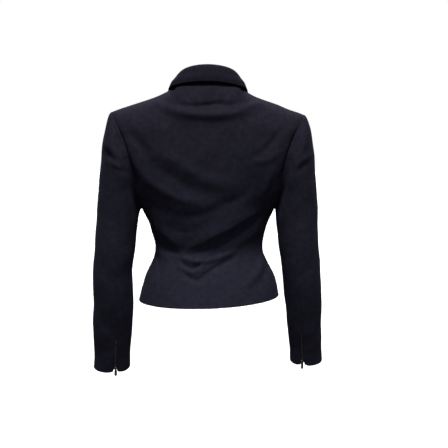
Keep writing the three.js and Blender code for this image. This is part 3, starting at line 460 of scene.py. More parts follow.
def ripple(x, z):
    """Slight waves of different lengths, which a worn wool cloth never loses."""
    return RIPPLE * (
        np.sin(x / 13.1 + np.sin(z / 21.7) * 1.3)
        + 0.8 * np.sin(z / 17.3 + np.sin(x / 24.1) * 1.7 + 1.1)
        + 0.6 * np.sin((x + z) / 9.7 + 0.4)
    )


def crease_rise(x, z, normal_y):
    """How far the creases move points of the cloth outwards, where normal_y says how they face."""
    total = ripple(x, z)
    for face, sign in (("back", 1), ("front", -1)):
        facing = ease(sign * normal_y * FACING_GAIN)
        for rise, spread, skew, points in CREASES[face] if facing.any() else ():
            total = total + facing * crease_lift(points, rise, spread, skew, x, z)
    return total


def inner_edge_x(face, z):
    """How far a front's inner edge lies from the centre line, or a back's from the seam."""
    if face == "back":
        return np.zeros_like(z)
    return mix(-OVERLAP, NECK_X, np.clip((z - BREAK_Z) / (NECK_Z - BREAK_Z), 0, 1))


ROLL_CROSSING_Z = mix(BREAK_Z, NECK_Z, OVERLAP / (OVERLAP + NECK_X))


def section_point(face, u, v):
    """A point of a section below the yoke, u from the centre line or inner edge to the outer edge."""
    row = row_at(BODY, "v", v)
    centre_y, centre_z = row[face + "_y"], row[face + "_z"]
    seam_y = (row["edge_back_y"] + row["edge_front_y"]) / 2
    edge_y = np.where(v <= ARMPIT_V, seam_y, row[f"edge_{face}_y"])
    sweep = np.radians(np.minimum(row["sweep"], 90))
    start = np.arcsin(inner_edge_x(face, centre_z) / row["edge_x"] * np.sin(sweep))
    turn = mix(start, sweep, u)
    share = (np.cos(turn) - np.cos(sweep)) / (1 - np.cos(sweep))
    x = row["edge_x"] * np.sin(turn) / np.sin(sweep)
    y = mix(edge_y, centre_y, share)
    z = mix(row["edge_z"], centre_z, share)
    if face == "front":
        for bust_x in (-BUST_X, BUST_X):
            off = ((x - bust_x) ** 2 + (z - BUST_Z) ** 2) / (2 * BUST_SPREAD**2)
            y = y - BUST_RISE * np.exp(-off)
    return vec(x, y, z)


def shoulder_point(k):
    """The shoulder seam, k from the side of the neck to the tip of the shoulder."""
    sag = SHOULDER_SAG * np.sin(np.pi * (1 - k) ** 2)
    return vec(mix(NECK_X, TIP_X, k), mix(NECK_Y, TIP_Y, k), mix(NECK_Z, TIP_Z, k) - sag)


def neck_point(k):
    """The back's neck seam, k from the nape to the side of the neck."""
    round_it = k * np.pi / 2
    y = mix(NECK_Y, NAPE_Y, np.cos(round_it))
    return vec(NECK_X * np.sin(round_it), y, mix(NAPE_Z, NECK_Z, k**2))


def top_point(face, u):
    """The panel's top edge: neck seam and shoulder seam on a back, shoulder seam on a front."""
    if face == "front":
        return shoulder_point(u)
    neck = neck_point(np.minimum(u / NECK_SHARE, 1))
    shoulder = shoulder_point(np.maximum((u - NECK_SHARE) / (1 - NECK_SHARE), 0))
    return np.where((u < NECK_SHARE)[..., None], neck, shoulder)


def body_form(face, u, v):
    """The body's outer face for the wearer's left, before creases: v from the hem to the top."""
    u, v = arrays(u, v)
    below = section_point(face, u, np.minimum(v, YOKE_V))
    if (v <= YOKE_V).all():
        return below
    low = section_point(face, u, np.full_like(u, YOKE_V))
    top = top_point(face, u)
    chord = length_of(top - low)
    rising = unit(low - section_point(face, u, np.full_like(u, YOKE_V - YOKE_STEP))) * chord
    towards = -1 if face == "back" else 1
    levelling = NECK_SHARE if face == "back" else FRONT_LEVELLING
    level = ease(u / levelling)  # 0 where the cloth climbs the neck, 1 on top of the shoulder
    run, rise = (mix(neck, pad, level) for neck, pad in zip(NECK_SLOPE, PAD_SLOPE))
    arriving = unit(vec(0, towards * run, rise)) * chord
    over = cubic(low, rising, top, arriving, ((v - YOKE_V) / (1 - YOKE_V))[..., None])
    return np.where((v > YOKE_V)[..., None], over, below)


def placed(face, side, u, v):
    """The same on either side, leaning as worn."""
    p = body_form(face, u, v)
    row = row_at(BODY, "v", np.minimum(v, YOKE_V))
    p[..., 0] *= side
    p[..., 2] += row["lean"] * p[..., 0]
    p[..., 0] += row["shift"]
    return p


def square_to_seam(normal, face, u, v):
    """At a seam both pieces' edges are square to it, so that they meet face to face."""
    if face == "back":
        normal[..., 0] *= np.minimum(u / BACK_COLUMN_SHARE, 1)
    on_shoulder = v >= 1 - ARMHOLE_STEP
    if face == "back":
        on_shoulder &= u >= NECK_SHARE
    normal[..., 1] *= np.where(on_shoulder, (1 - v) / ARMHOLE_STEP, 1)
    share = BACK_COLUMN_SHARE if face == "back" else FRONT_COLUMN_SHARE
    beside = np.minimum((1 - u) / share, 1)
    normal[..., 1] *= np.where(v <= ARMPIT_V, beside, 1)
    return unit(normal)


def panel_sign(face, side):
    return -side if face == "back" else side


def body_frame(face, side, u, v):
    """Points of a panel before its creases, and the way the cloth faces there."""
    u, v = arrays(u, v)
    normal = read_normal(lambda u, v: placed(face, side, u, v), u, v) * panel_sign(face, side)
    return placed(face, side, u, v), square_to_seam(normal, face, u, v)


def read_normal(point, u, v):
    """The normal of a face at u and v, from points a small step to either side."""
    across = point(np.minimum(u + READ_STEP, 1), v) - point(np.maximum(u - READ_STEP, 0), v)
    up = point(u, np.minimum(v + READ_STEP, 1)) - point(u, np.maximum(v - READ_STEP, 0))
    return unit(np.cross(across, up))


def body_point(face, side, u, v):
    """The panel's face, with its creases, its turned-up hem and the right front's place on top."""
    u, v = arrays(u, v)
    here, normal = body_frame(face, side, u, v)
    rise = crease_rise(here[..., 0], here[..., 2], normal[..., 1])
    rise += HEM_RISE * (1 - ease((v - HEM_TURN) / HEM_STEP))
    if face == "front":
        # The fronts lie flat where they lap.
        from_lap = np.abs(here[..., 0]) - OVERLAP
        lapped = 1 - ease((here[..., 2] - ROLL_CROSSING_Z) / LAP_FADE_UP)
        rise = mix(rise, rise * ease((from_lap + LAP_MARGIN) / LAP_CREASE_FADE), lapped)
        if side < 0:
            rise += LAP_LIFT * (1 - ease((from_lap - LAP_MARGIN) / LAP_FADE)) * lapped
    return here + normal * rise[..., None]


def front_place(x, z):
    """Where on a front points seen from in front lie, as u and v."""
    x, z = arrays(x, z)
    u = np.full_like(x, SEARCH_U)
    v = np.full_like(x, SEARCH_V)
    for _ in range(SEARCH_ROUNDS):
        p = body_form("front", u, v)
        du = (body_form("front", u + SEARCH_STEP, v) - p) / SEARCH_STEP
        dv = (body_form("front", u, v + SEARCH_STEP) - p) / SEARCH_STEP
        det = du[..., 0] * dv[..., 2] - du[..., 2] * dv[..., 0]
        miss_x = x - p[..., 0]
        miss_z = z - p[..., 2]
        move_u = SEARCH_PACE * (miss_x * dv[..., 2] - miss_z * dv[..., 0]) / det
        move_v = SEARCH_PACE * (du[..., 0] * miss_z - du[..., 2] * miss_x) / det
        u = np.clip(u + move_u, 0, SEARCH_END)
        v = np.clip(v + move_v, 0, SEARCH_END)
    return u, v


def front_normal(side, u, v):
    """The way a front's creased face points."""
    return read_normal(lambda u, v: body_point("front", side, u, v), u, v) * side


# ---- Cloth shells ----------------------------------------------------------------------------------
def grid_normals(grid, sign):
    """Normals of a grid of points, turned by sign so that they point out of the garment."""
    padded = np.pad(grid, ((1, 1), (1, 1), (0, 0)), mode="edge")
    across = padded[1:-1, 2:] - padded[1:-1, :-2]
    up = padded[2:, 1:-1] - padded[:-2, 1:-1]
    return unit(np.cross(across, up)) * sign


def border_of(rows, columns):
    """The grid's border as row and column indices, once round."""
    i = [0] * columns + list(range(1, rows)) + [rows - 1] * (columns - 1) + list(range(rows - 2, 0, -1))
    j = list(range(columns)) + [columns - 1] * (rows - 1)
    j += list(range(columns - 2, -1, -1)) + [0] * (rows - 2)
    return np.array(i), np.array(j)


def cloth_lengths(grid):
    """Lengths across and along the cloth, which its weave follows."""
    across = np.cumsum(np.pad(length_of(np.diff(grid, axis=1))[..., 0], ((0, 0), (1, 0))), axis=1)
    across -= across[:, -1:] / 2
    middle = grid[:, grid.shape[1] // 2]
    along = np.cumsum(np.pad(length_of(np.diff(middle, axis=0))[..., 0], (1, 0)))
    return np.stack([across, np.broadcast_to(along[:, None], across.shape)], axis=-1)


def cloth_shell(name, grid, normals, edges, thick=CLOTH):
    """A piece of cloth. The grid is its face, its back lies thick inside, and its edges are rounded.

    edges are the radii at the first column, the last column, the first row and the last row.
    """
    rows, columns = grid.shape[:2]
    i, j = border_of(rows, columns)
    inward = np.zeros_like(grid)
    radius = np.zeros((rows, columns))
    for (row, column), towards, size in (
        ((slice(None), 0), grid[:, 1] - grid[:, 0], edges[0]),
        ((slice(None), -1), grid[:, -2] - grid[:, -1], edges[1]),
        ((0, slice(None)), grid[1] - grid[0], edges[2]),
        ((-1, slice(None)), grid[-2] - grid[-1], edges[3]),
    ):
        inward[row, column] += unit(towards)
        radius[row, column] = np.maximum(radius[row, column], size)
    point, normal, inward, r = grid[i, j], normals[i, j], inward[i, j], radius[i, j][:, None]
    rounding = r * (1 - math.sqrt(0.5))
    rings = [
        point + inward * rounding - normal * rounding,
        point - normal * r,
        point - normal * (thick - r),
        point + inward * rounding - normal * (thick - rounding),
    ]
    face = grid.copy()
    face[i, j] = point + inward * r
    back = face - normals * thick
    verts = np.concatenate([face.reshape(-1, 3), back.reshape(-1, 3), *rings])
    index = np.arange(rows * columns).reshape(rows, columns)
    quads = np.stack([index[:-1, :-1], index[:-1, 1:], index[1:, 1:], index[1:, :-1]], -1)
    quads = quads.reshape(-1, 4)
    ring = 2 * rows * columns + np.arange(len(i))
    lines = [index[i, j], *(ring + k * len(i) for k in range(4)), rows * columns + index[i, j]]
    faces = [quads, (quads + rows * columns)[:, ::-1]]
    for outer, inner in zip(lines[:-1], lines[1:]):
        faces.append(np.stack([np.roll(outer, -1), outer, inner, np.roll(inner, -1)], -1))
    faces = np.concatenate(faces)
    corner = face[0, 0], face[0, 1], face[1, 0]
    if np.dot(np.cross(corner[1] - corner[0], corner[2] - corner[0]), normals[0, 0]) < 0:
        faces = faces[:, ::-1]
    flat = cloth_lengths(grid)
    rim = flat[i, j]
    uv = np.concatenate([flat.reshape(-1, 2)] * 2 + [rim] * 4) * MM
    return mesh_piece(name, verts, faces, uv)


def put(name, data):
    """A new object of the scene."""
    made = bpy.data.objects.new(name, data)
    bpy.context.scene.collection.objects.link(made)
    return made


def mesh_piece(name, verts, faces, uv=None):
    """An object of points in millimetres, smooth, with the places on the cloth as its UV map."""
    mesh = bpy.data.meshes.new(name)
    mesh.from_pydata((np.asarray(verts) * MM).tolist(), [], [tuple(map(int, face)) for face in faces])
    mesh.shade_smooth()
    if uv is not None:
        corner = np.empty(len(mesh.loops), int)
        mesh.loops.foreach_get("vertex_index", corner)
        mesh.uv_layers.new(name="cloth").uv.foreach_set("vector", uv[corner].ravel())
    mesh.validate()
    return put(name, mesh)


def declare(piece, look, nodes):
    """Gives a finished piece its material, the main body and the nodes that it stands for."""
    if not piece.data.materials:
        piece.data.materials.append(material(look))
    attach(piece, "root")
    if nodes:
        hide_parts(*nodes)


def declare_cloth(piece, nodes):
    declare(piece, "navy_wool", nodes)


# ---- The body's panels -----------------------------------------------------------------------------
def stretches(ends, counts):
    """Even places from end to end, with a count of its own for each stretch between two ends."""
    places = [np.linspace(a, b, count) for a, b, count in zip(ends[:-1], ends[1:], counts)]
    return np.concatenate([places[0], *(part[1:] for part in places[1:])])


def panel_columns(face):
    if face == "front":
        return np.linspace(0, 1, FRONT_COLUMNS)
    return stretches((0, NECK_SHARE, 1), (NECK_COLUMNS, SHOULDER_COLUMNS))


def panel(face, side):
    """A front or back panel's shell."""
    rows = stretches((0, ARMPIT_V, 1), (SKIRT_ROWS, CHEST_ROWS))
    v, u = np.meshgrid(rows, panel_columns(face), indexing="ij")
    grid = body_point(face, side, u, v)
    normals = square_to_seam(grid_normals(grid, panel_sign(face, side)), face, u, v)
    # At the armhole the wall never leans towards the sleeve.
    outwards = np.maximum(side * normals[..., 0], ARMHOLE_LEAN) * side
    normals[..., 0] = np.where((v >= ARMPIT_V) & (u == 1), outwards, normals[..., 0])
    inner = SEWN if face == "back" else TURNED
    return cloth_shell(f"{face}_{side_name(side)}_cloth", grid, normals, (inner, SEWN, TURNED, SEWN))


def side_name(side):
    return "left" if side > 0 else "right"


# ---- Sleeves ---------------------------------------------------------------------------------------
def armhole(side, column):
    """The armhole before and with its creases, column from the shoulder round the back."""
    column = np.mod(column, ARM_COLUMNS)
    down = column <= ARMPIT_COLUMN
    share = column / ARMPIT_COLUMN
    v = np.where(down, mix(1, ARMPIT_V, share), mix(ARMPIT_V, 1, share - 1))
    behind = down[..., None]
    smooth = np.where(behind, body_frame("back", side, 1.0, v)[0], body_frame("front", side, 1.0, v)[0])
    creased = np.where(behind, body_point("back", side, 1.0, v), body_point("front", side, 1.0, v))
    return smooth, creased


def arm_point(name, side, angle, z):
    """A point of the arm at a height, its angle from the outside round the back."""
    row = row_at(ARM[name], "z", z)
    behind = row["half_y"] * np.sin(angle)
    tip = np.radians(row["tip"])
    x = side * (row["x"] + row["half_x"] * np.cos(angle))
    return vec(x, row["y"] + behind * np.cos(tip), z - behind * np.sin(tip))


def sleeve_height(name, run):
    """The height of a place on the arm, run from 1 at the top of the arm to 2 at the cuff."""
    z = ARM[name]["z"]
    return mix(z[0], z[-1], np.maximum(run - 1, 0))


def above_cuff(name, run):
    return sleeve_height(name, run) - ARM[name]["z"][-1]


def arm_length(name):
    z = ARM[name]["z"]
    return z[0] - z[-1]


def sleeve_form(name, side, start, run, column):
    """A sleeve's face before its creases: run 0 to 1 over the cap, and 1 to 2 down the arm."""
    angle = 2 * np.pi * column / ARM_COLUMNS
    top = ARM[name]["z"][0]
    end = arm_point(name, side, angle, np.full_like(run, top))
    away = length_of(start - end)
    lower = arm_point(name, side, angle, np.full_like(run, top - CAP_PROBE))
    down = unit(lower - end) * away * CAP_DOWN
    upper = (((1 + np.cos(angle)) / 2) ** 2)[..., None]
    outwards = unit(vec(side, CAP_FORWARD * np.sin(angle), 0)) * mix(away * CAP_UNDER, CAP_OVER, upper)
    cap = cubic(start, outwards, end, down, np.minimum(run, 1)[..., None])
    arm = arm_point(name, side, angle, sleeve_height(name, run))
    beside_zip = np.exp(-((np.mod(column, ARM_COLUMNS) - BACK_SEAM) ** 2))
    arm[..., 2] += CUFF_RISE * beside_zip * np.maximum(0, 1 - above_cuff(name, run) / CUFF_RISE_HEIGHT)
    return np.where((run < 1)[..., None], cap, arm)


def sleeve_frame(name, side, run, column):
    """Points of a sleeve with its creases pressed in, and its normals."""
    smooth, creased = armhole(side, column)
    here = sleeve_form(name, side, smooth, run, column)
    after, before = column + SLEEVE_STEP * 6, column - SLEEVE_STEP * 6
    ahead = sleeve_form(name, side, armhole(side, after)[0], run, after)
    behind = sleeve_form(name, side, armhole(side, before)[0], run, before)
    lower = sleeve_form(name, side, smooth, np.minimum(run + SLEEVE_STEP, 2), column)
    upper = sleeve_form(name, side, smooth, np.maximum(run - SLEEVE_STEP, 0), column)
    normal = unit(np.cross(ahead - behind, lower - upper)) * -side
    rise = crease_rise(here[..., 0], here[..., 2], normal[..., 1])
    started = ease(run * CAP_SETTLING)[..., None]  # at the seam the sleeve moves with the body's edge
    return here + mix(creased - smooth, normal * rise[..., None], started), normal


def seam_gap(name, run):
    """Half the gap at a sleeve's back seam: the zip's slot, which spreads into a notch at the edge."""
    height = above_cuff(name, run)
    open_to = mix(ZIP_LIPS, ZIP_WIDTH / 2 + SLIDER_GAP, ease((SLIDER_ROOM - height) / SLIDER_FADE))
    slot = open_to * ease((ZIP_LENGTH - height) / SLOT_FADE)
    return np.where(run > 1, slot + NOTCH_SPREAD * np.maximum(0, 1 - height / NOTCH_HEIGHT) ** 2, 0)


def sleeve_rows(name):
    """Places down a sleeve, close together at the cuff and at the top of the zip's slot."""
    length = arm_length(name)
    cuff = 2 - np.array(CUFF_ROWS) / length
    slot_top = 2 - (ZIP_LENGTH + np.array(SLOT_ROWS)) / length
    arm = np.concatenate([np.linspace(1, 2 - CUFF_START / length, ARM_ROWS), cuff])
    far = np.abs(arm[:, None] - slot_top).min(axis=1) > ROW_ROOM / length
    arm = np.sort(np.concatenate([arm[far], slot_top]))
    return np.concatenate([np.linspace(0, 1, CAP_ROWS)[:-1], arm])


def half_sleeve(name, side, half):
    """The top sleeve runs over the outside of the arm, the under sleeve along the body."""
    under = half == "under"
    shares = np.linspace(0, 1, SLEEVE_COLUMNS[half])
    run, share = np.meshgrid(sleeve_rows(name), shares, indexing="ij")
    rows = run[:, 0]
    left, right = (
        sleeve_form(name, side, armhole(side, at)[0], rows, at)
        for at in (np.full(len(rows), BACK_SEAM - 0.5), np.full(len(rows), BACK_SEAM + 0.5))
    )
    slot = (seam_gap(name, rows) / length_of(right - left)[:, 0])[:, None]  # as a share of a column
    if under:
        column = mix(BACK_SEAM + slot, FRONT_SEAM, share)
    else:
        column = mix(FRONT_SEAM, BACK_SEAM + ARM_COLUMNS - slot, share)
    grid = sleeve_frame(name, side, run, column)[0]
    normals = grid_normals(grid, -side)
    normals[..., 0] *= ease(run * CAP_SETTLING / 2)
    edges = (SEWN, SEWN, SEWN, TURNED)
    return cloth_shell(f"{half}_sleeve_{name}_cloth", grid, unit(normals), edges)


# ---- Collar and lapels -----------------------------------------------------------------------------
def lapel(side):
    """A lapel, from the fold along the roll line to its outer edge, up to the gorge."""
    name = side_name(side)
    gorge_z = body_form("front", 0.0, GORGE_V)[2] - GORGE_GAP

    def inner(s):
        """The fold, s from break to gorge. The left one follows the other front's edge at first."""
        z = mix(BREAK_Z + BREAK_GAP, gorge_z, s)
        x = inner_edge_x("front", z)
        return (np.maximum(x, -x) if name == "left" else x) + ROLL_GAP, z

    rows = mix(LAPEL_START[name], 1, np.linspace(0, 1, LAPEL_ROWS))
    s, k = np.meshgrid(rows, np.linspace(0, 1, LAPEL_COLUMNS) ** LAPEL_CROWDING, indexing="ij")
    edge = row_at(LAPEL_EDGE, "s", s)
    cut = ease((s - LAPEL_CUT) / (1 - LAPEL_CUT))
    # Seen from in front, the face runs from fold to edge, and its top is bent to the gorge and notch.
    seen = []
    corners = zip(inner(s), inner(np.array(1.0)), (edge["x"], edge["z"]), LAPEL_NOTCH, LAPEL_TIP)
    for fold, fold_top, outer, notch, tip in corners:
        to_notch = mix(fold_top, notch, k / NOTCH_SHARE)
        to_tip = mix(notch, tip, (k - NOTCH_SHARE) / (1 - NOTCH_SHARE))
        top = np.where(k < NOTCH_SHARE, to_notch, to_tip)
        seen.append(mix(fold, outer, k) + cut * (top - mix(fold_top, tip, k)))
    u, v = front_place(*seen)
    normal = front_normal(side, u, v)
    base = body_point("front", side, u, v)
    grid = base + normal * (CLOTH + CLEAR + LAPEL_ROLL * np.sin(np.pi * k))[..., None]
    # The fold: the cloth turns over the front's edge.
    radius = (2 * CLOTH + CLEAR) / 2
    away = unit(grid[:, 0] - grid[:, 2])
    fold = []
    for angle in np.radians(FOLD_ANGLES):
        lift = CLEAR / 2 + radius * math.sin(angle)
        fold.append(base[:, 0] + normal[:, 0] * lift + away * (radius * math.cos(angle)))
    grid = np.concatenate([np.stack(fold, axis=1), grid], axis=1)
    edges = (TURNED, TURNED, SEWN, TURNED)
    return cloth_shell(f"lapel_{name}_cloth", grid, grid_normals(grid, side), edges)


def back_collar(turn):
    """Behind the shoulder seams the collar stands on the neck seam and its leaf falls over the back."""
    behind = np.cos(turn)
    outwards = vec(np.sin(turn), behind, 0)
    foot = neck_point(turn / (np.pi / 2)) - outwards * CLOTH
    fold_z = mix(FOLD_SIDE_Z, NAPE_Z + STAND_HEIGHT, behind)
    fold = vec(FOLD_X * np.sin(turn), mix(FOLD_SIDE_Y, FOLD_Y, behind), fold_z)
    edge_z = mix(LEAF_SIDE_Z, LEAF_Z, behind**2)
    edge = vec(LEAF_X * np.sin(turn), mix(LEAF_SIDE_Y, LEAF_Y, behind), edge_z)
    leaf = mix(fold, edge, LEAF_MIDDLE) + outwards * LEAF_BELLY
    return foot, fold, leaf, edge, outwards, np.broadcast_to(vec(0, 0, 1), foot.shape)


def front_collar(front):
    """In front of them it lies down along the roll line and ends at the gorge and its own point."""
    v = mix(COLLAR_TOP_V, GORGE_V, front)
    u = np.zeros_like(v)
    roll = body_form("front", u, v)
    normal = front_normal(1, u + BESIDE_ROLL, v)
    standing = ((1 - front) ** SETTLING)[..., None]
    outwards = unit(body_form("front", u + BESIDE_ROLL, v) - roll)
    outwards = unit(mix(outwards, vec(1, 0, 0), standing))
    above = unit(mix(normal, vec(0, 0, 1), standing))
    foot = roll - outwards * mix(FOOT_TUCK, CLOTH, standing)
    fold = foot + above * mix(CLOTH + GORGE_FOLD_RISE, FOLD_SIDE_Z - NECK_Z, standing)
    fold = fold + outwards * mix(GORGE_FOLD_RUN, FOLD_X - NECK_X + CLOTH, standing)
    point_u, point_v = front_place(*COLLAR_POINT)
    u = mix((LEAF_X - NECK_X) / (TIP_X - NECK_X), point_u, front)
    v = mix(COLLAR_TOP_V, point_v, front)
    lift = mix(EDGE_LIFT_TOP, CLOTH + EDGE_LIFT_POINT, front)[..., None]
    edge = body_form("front", u, v) + front_normal(1, u, v) * lift
    leaf = mix(fold, edge, LEAF_MIDDLE) + outwards * LEAF_BELLY * standing
    place = front_place(LAPEL_NOTCH[0] - NOTCH_GAP_X, LAPEL_NOTCH[1] + NOTCH_GAP_Z)
    notch = body_form("front", *place) + front_normal(1, *place) * (CLOTH + NOTCH_LIFT)
    return foot, fold, mix(leaf, notch, (front**4)[..., None]), edge, outwards, above


def collar_grid():
    """The collar's face: stations round the neck, each from the neck seam up and over to the edge."""
    stations = stretches((2, 1, 0), COLLAR_STATIONS)
    behind = back_collar(np.minimum(stations, 1) * np.pi / 2)
    ahead = front_collar(np.maximum(stations - 1, 0))
    at_back = (stations <= 1)[:, None]
    foot, fold, leaf, edge, outwards, above = (np.where(at_back, b, a) for b, a in zip(behind, ahead))
    turned_in = fold + outwards * (-FOLD_BEND * STAND_BEND) - above * FOLD_BEND * FOLD_DROP
    turned_out = fold + outwards * FOLD_BEND - above * FOLD_BEND * FOLD_DROP
    middle = mix(foot, fold, 0.5) - outwards * STAND_SWELL
    curve = np.stack([foot, middle, turned_in, fold, turned_out, leaf, edge], axis=1)
    places = stretches((0, 2, 4, 6), COLLAR_PLACES)
    left = np.stack([spline(curve, place) for place in places], axis=1)
    right = left[::-1][1:] * np.array([-1, 1, 1])
    grid = np.concatenate([left, right])
    grid[..., 2] += COLLAR_LEAN * grid[..., 0]
    grid[..., 0] -= COLLAR_SHIFT * np.maximum(0, grid[..., 2] - NECK_Z)
    return grid + grid_normals(grid, -1) * edge_roll(grid)[..., None]


def edge_roll(grid):
    """How far the leaf flares over the seam inside its edge, and dips above it."""
    step = length_of(np.diff(grid, axis=1))[..., 0]
    from_edge = np.pad(np.cumsum(step[:, ::-1], axis=1)[:, ::-1], ((0, 0), (0, 1)))
    on_leaf = ease((from_edge.max(axis=1, keepdims=True) * 0.5 - from_edge) / LEAF_ONLY)
    flare = FLARE_RISE * (1 - ease(from_edge / FLARE_WIDTH))
    return on_leaf * (flare - DIP_DEPTH * np.exp(-(((from_edge - DIP_PLACE) / DIP_WIDTH) ** 2)))


# ---- Materials -------------------------------------------------------------------------------------
def feed(tree, node, values):
    """Sets a node's inputs, to values or linked to the sockets given."""
    for name, value in values.items():
        if isinstance(value, bpy.types.NodeSocket):
            tree.links.new(value, node.inputs[name])
        else:
            node.inputs[name].default_value = value
    return node


def add(tree, kind, inputs=None, **settings):
    """A new node with its settings and its inputs."""
    made = tree.nodes.new(kind)
    for name, value in settings.items():
        setattr(made, name, value)
    return feed(tree, made, inputs or {})


def calculate(tree, operation, *values):
    return add(tree, "ShaderNodeMath", dict(enumerate(values)), operation=operation).outputs[0]


def remap(tree, value, low, high, to_low=0.0, to_high=1.0):
    limits = {"From Min": low, "From Max": high, "To Min": to_low, "To Max": to_high}
    return add(tree, "ShaderNodeMapRange", {"Value": value, **limits}).outputs["Result"]


def noise(tree, where, scale, detail, roughness=0.5, distortion=0.0):
    inputs = {"Vector": where, "Scale": scale, "Detail": detail}
    inputs.update({"Roughness": roughness, "Distortion": distortion})
    return add(tree, "ShaderNodeTexNoise", inputs).outputs["Fac"]


def colour(value, share=1.0):
    """A colour with its alpha, as a share of its brightness."""
    return (*(part * share for part in value), 1.0)


def mixed(tree, factor, low, high):
    """Two colours mixed."""
    inputs = {"Factor": factor, 6: low, 7: high}
    return add(tree, "ShaderNodeMix", inputs, data_type="RGBA").outputs[2]


def bump(tree, height, strength, distance):
    inputs = {"Height": height, "Strength": strength, "Distance": distance}
    return add(tree, "ShaderNodeBump", inputs).outputs["Normal"]


def waves(tree, where, scale, distortion=0.0):
    """Slanting bands."""
    inputs = {"Vector": where, "Scale": scale, "Distortion": distortion}
    return add(tree, "ShaderNodeTexWave", inputs, bands_direction="DIAGONAL").outputs["Fac"]


def new_group(name, kind, inputs, outputs):
    """An empty node group with its named sockets, and its input and output nodes."""
    tree = bpy.data.node_groups.new(name, kind)
    for label, socket, default in inputs:
        made = tree.interface.new_socket(label, in_out="INPUT", socket_type="NodeSocket" + socket)
        if default is not None:
            made.default_value = default
    for label, socket in outputs:
        tree.interface.new_socket(label, in_out="OUTPUT", socket_type="NodeSocket" + socket)
    return tree, tree.nodes.new("NodeGroupInput").outputs, tree.nodes.new("NodeGroupOutput")


def nap_group():
    """The face of a felted wool twill: its ribs, the nap over them, soft mottling and stray lint."""
    tree, given, result = new_group(
        "Wool nap",
        "ShaderNodeTree",
        [
            ("Vector", "Vector", None),
            ("Rib Pitch", "Float", 0.0011),
            ("Nap", "Float", 0.7),
            ("Mottle Size", "Float", 0.013),
        ],
        [("Tone", "Float"), ("Lint", "Float"), ("Height", "Float")],
    )
    where = given["Vector"]
    flat = add(tree, "ShaderNodeSeparateXYZ", {0: where}).outputs
    turn = calculate(tree, "DIVIDE", 2 * math.pi, given["Rib Pitch"])
    diagonal = calculate(tree, "ADD", flat["X"], flat["Y"])
    ribs = calculate(tree, "SINE", calculate(tree, "MULTIPLY", diagonal, turn))
    picks = calculate(tree, "SINE", calculate(tree, "MULTIPLY", flat["Y"], turn))
    weave = remap(tree, calculate(tree, "MULTIPLY_ADD", picks, 0.4, ribs), -1.4, 1.4)
    fuzz = noise(tree, where, 1400.0, 3.0, roughness=0.6)
    strands = noise(tree, where, 420.0, 2.0, distortion=1.6)
    nap = remap(tree, calculate(tree, "MULTIPLY_ADD", strands, 0.8, fuzz), 0.6, 1.2)
    layers = {"Factor": given["Nap"], 2: weave, 3: nap}
    height = add(tree, "ShaderNodeMix", layers, data_type="FLOAT").outputs[0]
    mottle_scale = calculate(tree, "DIVIDE", 1.0, given["Mottle Size"])
    mottle = noise(tree, where, mottle_scale, 5.0, roughness=0.62)
    specks = add(tree, "ShaderNodeTexVoronoi", {"Vector": where, "Scale": 55.0}).outputs
    speck = remap(tree, specks["Distance"], 0.035, 0.02)
    chance = add(tree, "ShaderNodeSeparateColor", {0: specks["Color"]}).outputs[0]
    lint = calculate(tree, "MULTIPLY", speck, calculate(tree, "GREATER_THAN", chance, 0.8))
    soft = calculate(tree, "MULTIPLY", mottle, 0.65)
    tone = calculate(tree, "MULTIPLY_ADD", height, 0.35, soft)
    feed(tree, result, {"Tone": tone, "Lint": lint, "Height": height})
    return tree


def wear_group():
    """Worn edges and fine scratches: Edge is 1 where the surface turns sharply outwards."""
    tree, given, result = new_group(
        "Worn edges",
        "ShaderNodeTree",
        [("Vector", "Vector", None), ("Scratch Scale", "Float", 900.0)],
        [("Edge", "Float"), ("Scratches", "Float"), ("Grime", "Float")],
    )
    where = given["Vector"]
    sharp = add(tree, "ShaderNodeNewGeometry").outputs["Pointiness"]
    stretched = add(tree, "ShaderNodeMapping", {"Vector": where, "Scale": (1.0, 1.0, 0.12)}).outputs[0]
    scratches = noise(tree, stretched, given["Scratch Scale"], 3.0)
    feed(tree, result, {
        "Edge": remap(tree, sharp, 0.56, 0.72),
        "Scratches": remap(tree, scratches, 0.35, 0.65),
        "Grime": remap(tree, noise(tree, where, 260.0, 4.0), 0.35, 0.7),
    })
    return tree


def group_named(name, builder):
    return bpy.data.node_groups.get(name) or builder()


def new_material(name):
    made = bpy.data.materials.new(name)
    made.use_nodes = True
    return made, made.node_tree, made.node_tree.nodes["Principled BSDF"]


def on_object(tree):
    return add(tree, "ShaderNodeTexCoord").outputs["Object"]


def on_cloth(tree):
    return add(tree, "ShaderNodeUVMap", uv_map="cloth").outputs["UV"]


def wear_of(tree, **inputs):
    made = add(tree, "ShaderNodeGroup", node_tree=group_named("Worn edges", wear_group))
    return feed(tree, made, {"Vector": on_object(tree), **inputs}).outputs


def wool_material():
    """Dark navy woollen cloth with a short soft nap."""
    cloth = bpy.context.scene.blazer_cloth
    made, tree, shader = new_material("navy_wool")
    group = add(tree, "ShaderNodeGroup", node_tree=group_named("Wool nap", nap_group))
    nap = feed(tree, group, {"Vector": on_cloth(tree), "Rib Pitch": cloth.rib_pitch}).outputs
    tone = remap(tree, nap["Tone"], 0.26, 0.74)
    body = mixed(tree, tone, colour(cloth.shade_colour), colour(cloth.nap_colour))
    lint = calculate(tree, "MULTIPLY", nap["Lint"], cloth.lint)
    feed(tree, shader, {
        "Base Color": mixed(tree, lint, body, colour(cloth.lint_colour)),
        "Roughness": remap(tree, nap["Tone"], 0.2, 0.8, 0.98, 0.84),
        "Sheen Weight": 0.05,
        "Sheen Roughness": 0.45,
        "Sheen Tint": colour(cloth.sheen_colour),
        "Specular IOR Level": 0.03,
        "Normal": bump(tree, nap["Height"], 0.35, 0.0003),
    })
    return made


